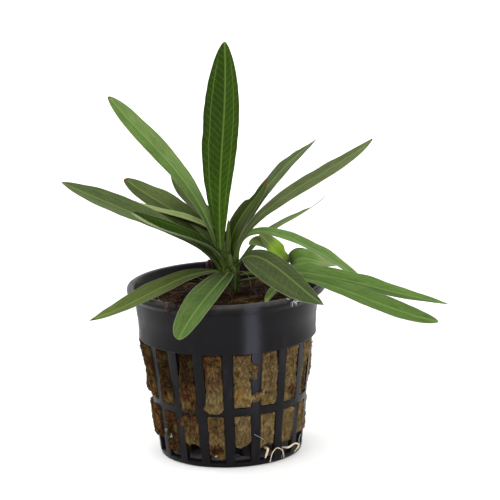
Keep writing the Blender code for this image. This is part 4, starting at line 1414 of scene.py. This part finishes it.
def build_floor(look):
    """A wide pale floor that curves up at its far edge, faintly uneven in tone."""
    turn = full_turn(FLOOR_SIDES)
    edge = [(FLOOR_RADIUS + FLOOR_BEND * math.sin(bend), FLOOR_BEND * (1 - math.cos(bend)))
            for bend in np.radians(np.linspace(0, 90, 10))]
    profile = ((0.02, 0), (0.2, 0), (1.0, 0), *edge, (FLOOR_RADIUS + FLOOR_BEND, BACKDROP_HEIGHT))
    rings = [ring_points(radius, turn, height) for radius, height in profile]
    mesh = bpy.data.meshes.new("studio_floor")
    faces = [face[::-1] for face in round_faces(len(rings), FLOOR_SIDES, caps=1)]
    mesh.from_pydata(np.concatenate(rings).tolist(), [], faces)
    f = Finish("studio_paper")
    cloud = f.noise(f.place(), 3.0, 2)
    base = f.mix(cloud, look.floor_colour, tuple(min(1.0, c * 1.03) for c in look.floor_colour))
    mesh.materials.append(f.done(base, 0.9, 0.1))
    mesh.shade_smooth()
    floor = bpy.data.objects.new("studio_floor", mesh)
    bpy.context.collection.objects.link(floor)


def build_lights(look):
    """Even white light all round, a wide soft lamp from above, and a soft box on either side."""
    world = bpy.data.worlds.new("white_tent")
    world.use_nodes = True
    back = world.node_tree.nodes["Background"]
    back.inputs["Color"].default_value = (1.0, 1.0, 1.0, 1.0)
    back.inputs["Strength"].default_value = look.sky
    bpy.context.scene.world = world
    lamp = bpy.data.lights.new("overhead", "SUN")
    lamp.energy = look.key
    lamp.angle = LAMP_ANGLE
    key = bpy.data.objects.new("overhead", lamp)
    key.rotation_euler = Vector(LAMP_FROM).to_track_quat("Z", "Y").to_euler()
    bpy.context.collection.objects.link(key)
    soft_box("left_box", (-540, 300, 330), (150, 520), look.side, (1.0, 0.95, 0.92))
    soft_box("right_box", (330, -560, 60), (60, 460), look.side * 0.4, (0.80, 0.88, 1.0))


def soft_box(name, place, size, power, tint):
    """A soft box of that width and height, turned to the plant."""
    lamp = bpy.data.lights.new(name, "AREA")
    lamp.shape = "RECTANGLE"
    lamp.size, lamp.size_y = size[0] * MM, size[1] * MM
    lamp.energy = power
    lamp.color = tint
    box = bpy.data.objects.new(name, lamp)
    box.location = Vector(place) * MM
    box.rotation_euler = Vector((place[0], place[1], place[2] - BOX_AIM)).to_track_quat("Z", "Y").to_euler()
    bpy.context.collection.objects.link(box)


def build_camera():
    """The camera, a little above the rim, with the pot upright in the picture."""
    lens = bpy.data.cameras.new("front_camera")
    lens.sensor_width = SENSOR_WIDTH
    lens.lens = CAMERA_LENS
    lens.clip_end = 50.0
    camera = bpy.data.objects.new("front_camera", lens)
    pitch = math.radians(CAMERA_PITCH)
    back = Vector((0, -math.cos(pitch), math.sin(pitch)))
    tilt = (Matrix.Rotation(math.radians(90 - CAMERA_PITCH), 4, "X")
            @ Matrix.Rotation(math.radians(CAMERA_ROLL), 4, "Z"))
    camera.matrix_world = Matrix.Translation((Vector(CAMERA_TARGET) + back * CAMERA_DISTANCE) * MM) @ tilt
    bpy.context.collection.objects.link(camera)
    bpy.context.scene.camera = camera


# ---------------------------------------------------------------- operators

class SWORDPLANT_OT_pot(bpy.types.Operator):
    """Moulds the net pot"""

    bl_idname = "sword_plant.pot"
    bl_label = "Net pot"

    def execute(self, context):
        build_pot()
        return {"FINISHED"}


class SWORDPLANT_OT_wool(bpy.types.Operator):
    """Packs the mineral wool, with its loose strands"""

    bl_idname = "sword_plant.wool"
    bl_label = "Mineral wool"

    def execute(self, context):
        side, level = build_wool()
        for seed, kind in enumerate(STRANDS):
            build_fibres(side, kind, FIBRE_SEED + seed)
        build_fine_roots(level)
        return {"FINISHED"}


class SWORDPLANT_OT_stems(bpy.types.Operator):
    """Grows the crown and the side shoot's stem"""

    bl_idname = "sword_plant.stems"
    bl_label = "Crown and shoot"

    def execute(self, context):
        build_stems()
        return {"FINISHED"}


class SWORDPLANT_OT_leaves(bpy.types.Operator):
    """Grows every leaf"""

    bl_idname = "sword_plant.leaves"
    bl_label = "Leaves"

    def execute(self, context):
        look = settings("leaf")
        finish = leaf_finish(look)
        for number, leaf in enumerate(LEAVES):
            build_leaf(leaf, number, finish, look)
        return {"FINISHED"}


class SWORDPLANT_OT_roots(bpy.types.Operator):
    """Grows the roots, and lays the white threads on the lip"""

    bl_idname = "sword_plant.roots"
    bl_label = "Roots"

    def execute(self, context):
        build_roots()
        build_fluff()
        return {"FINISHED"}


class SWORDPLANT_OT_stage(bpy.types.Operator):
    """Sets the floor, the lights and the camera"""

    bl_idname = "sword_plant.stage"
    bl_label = "Stage"

    def execute(self, context):
        look = settings("stage")
        build_floor(look)
        build_lights(look)
        build_camera()
        context.scene.view_settings.view_transform = "Standard"
        return {"FINISHED"}


OPERATORS = (SWORDPLANT_OT_pot, SWORDPLANT_OT_wool, SWORDPLANT_OT_stems, SWORDPLANT_OT_leaves,
             SWORDPLANT_OT_roots, SWORDPLANT_OT_stage)


class SWORDPLANT_PT_panel(bpy.types.Panel):
    """The plant's settings and its parts, in the order they are made"""

    bl_idname = "SWORDPLANT_PT_panel"
    bl_label = "Sword plant"
    bl_space_type = "VIEW_3D"
    bl_region_type = "UI"
    bl_category = "Sword plant"

    def draw(self, context):
        for part, group in GROUPS.items():
            box = self.layout.box()
            box.label(text=part.capitalize())
            for key in group.__annotations__:
                box.prop(settings(part), key)
        for operator in OPERATORS:
            self.layout.operator(operator.bl_idname)


def register():
    for made in (*GROUPS.values(), *OPERATORS, SWORDPLANT_PT_panel):
        bpy.utils.register_class(made)
    for part, group in GROUPS.items():
        setattr(bpy.types.Scene, "sword_plant_" + part, PointerProperty(type=group))


def unregister():
    for part in GROUPS:
        delattr(bpy.types.Scene, "sword_plant_" + part)
    for made in (SWORDPLANT_PT_panel, *reversed(OPERATORS), *reversed(list(GROUPS.values()))):
        bpy.utils.unregister_class(made)


def main():
    """Makes every part in turn."""
    register()
    bpy.ops.sword_plant.pot()
    bpy.ops.sword_plant.wool()
    bpy.ops.sword_plant.stems()
    bpy.ops.sword_plant.leaves()
    bpy.ops.sword_plant.roots()
    bpy.ops.sword_plant.stage()
    bpy.context.view_layer.update()


if __name__ == "__main__":
    main()
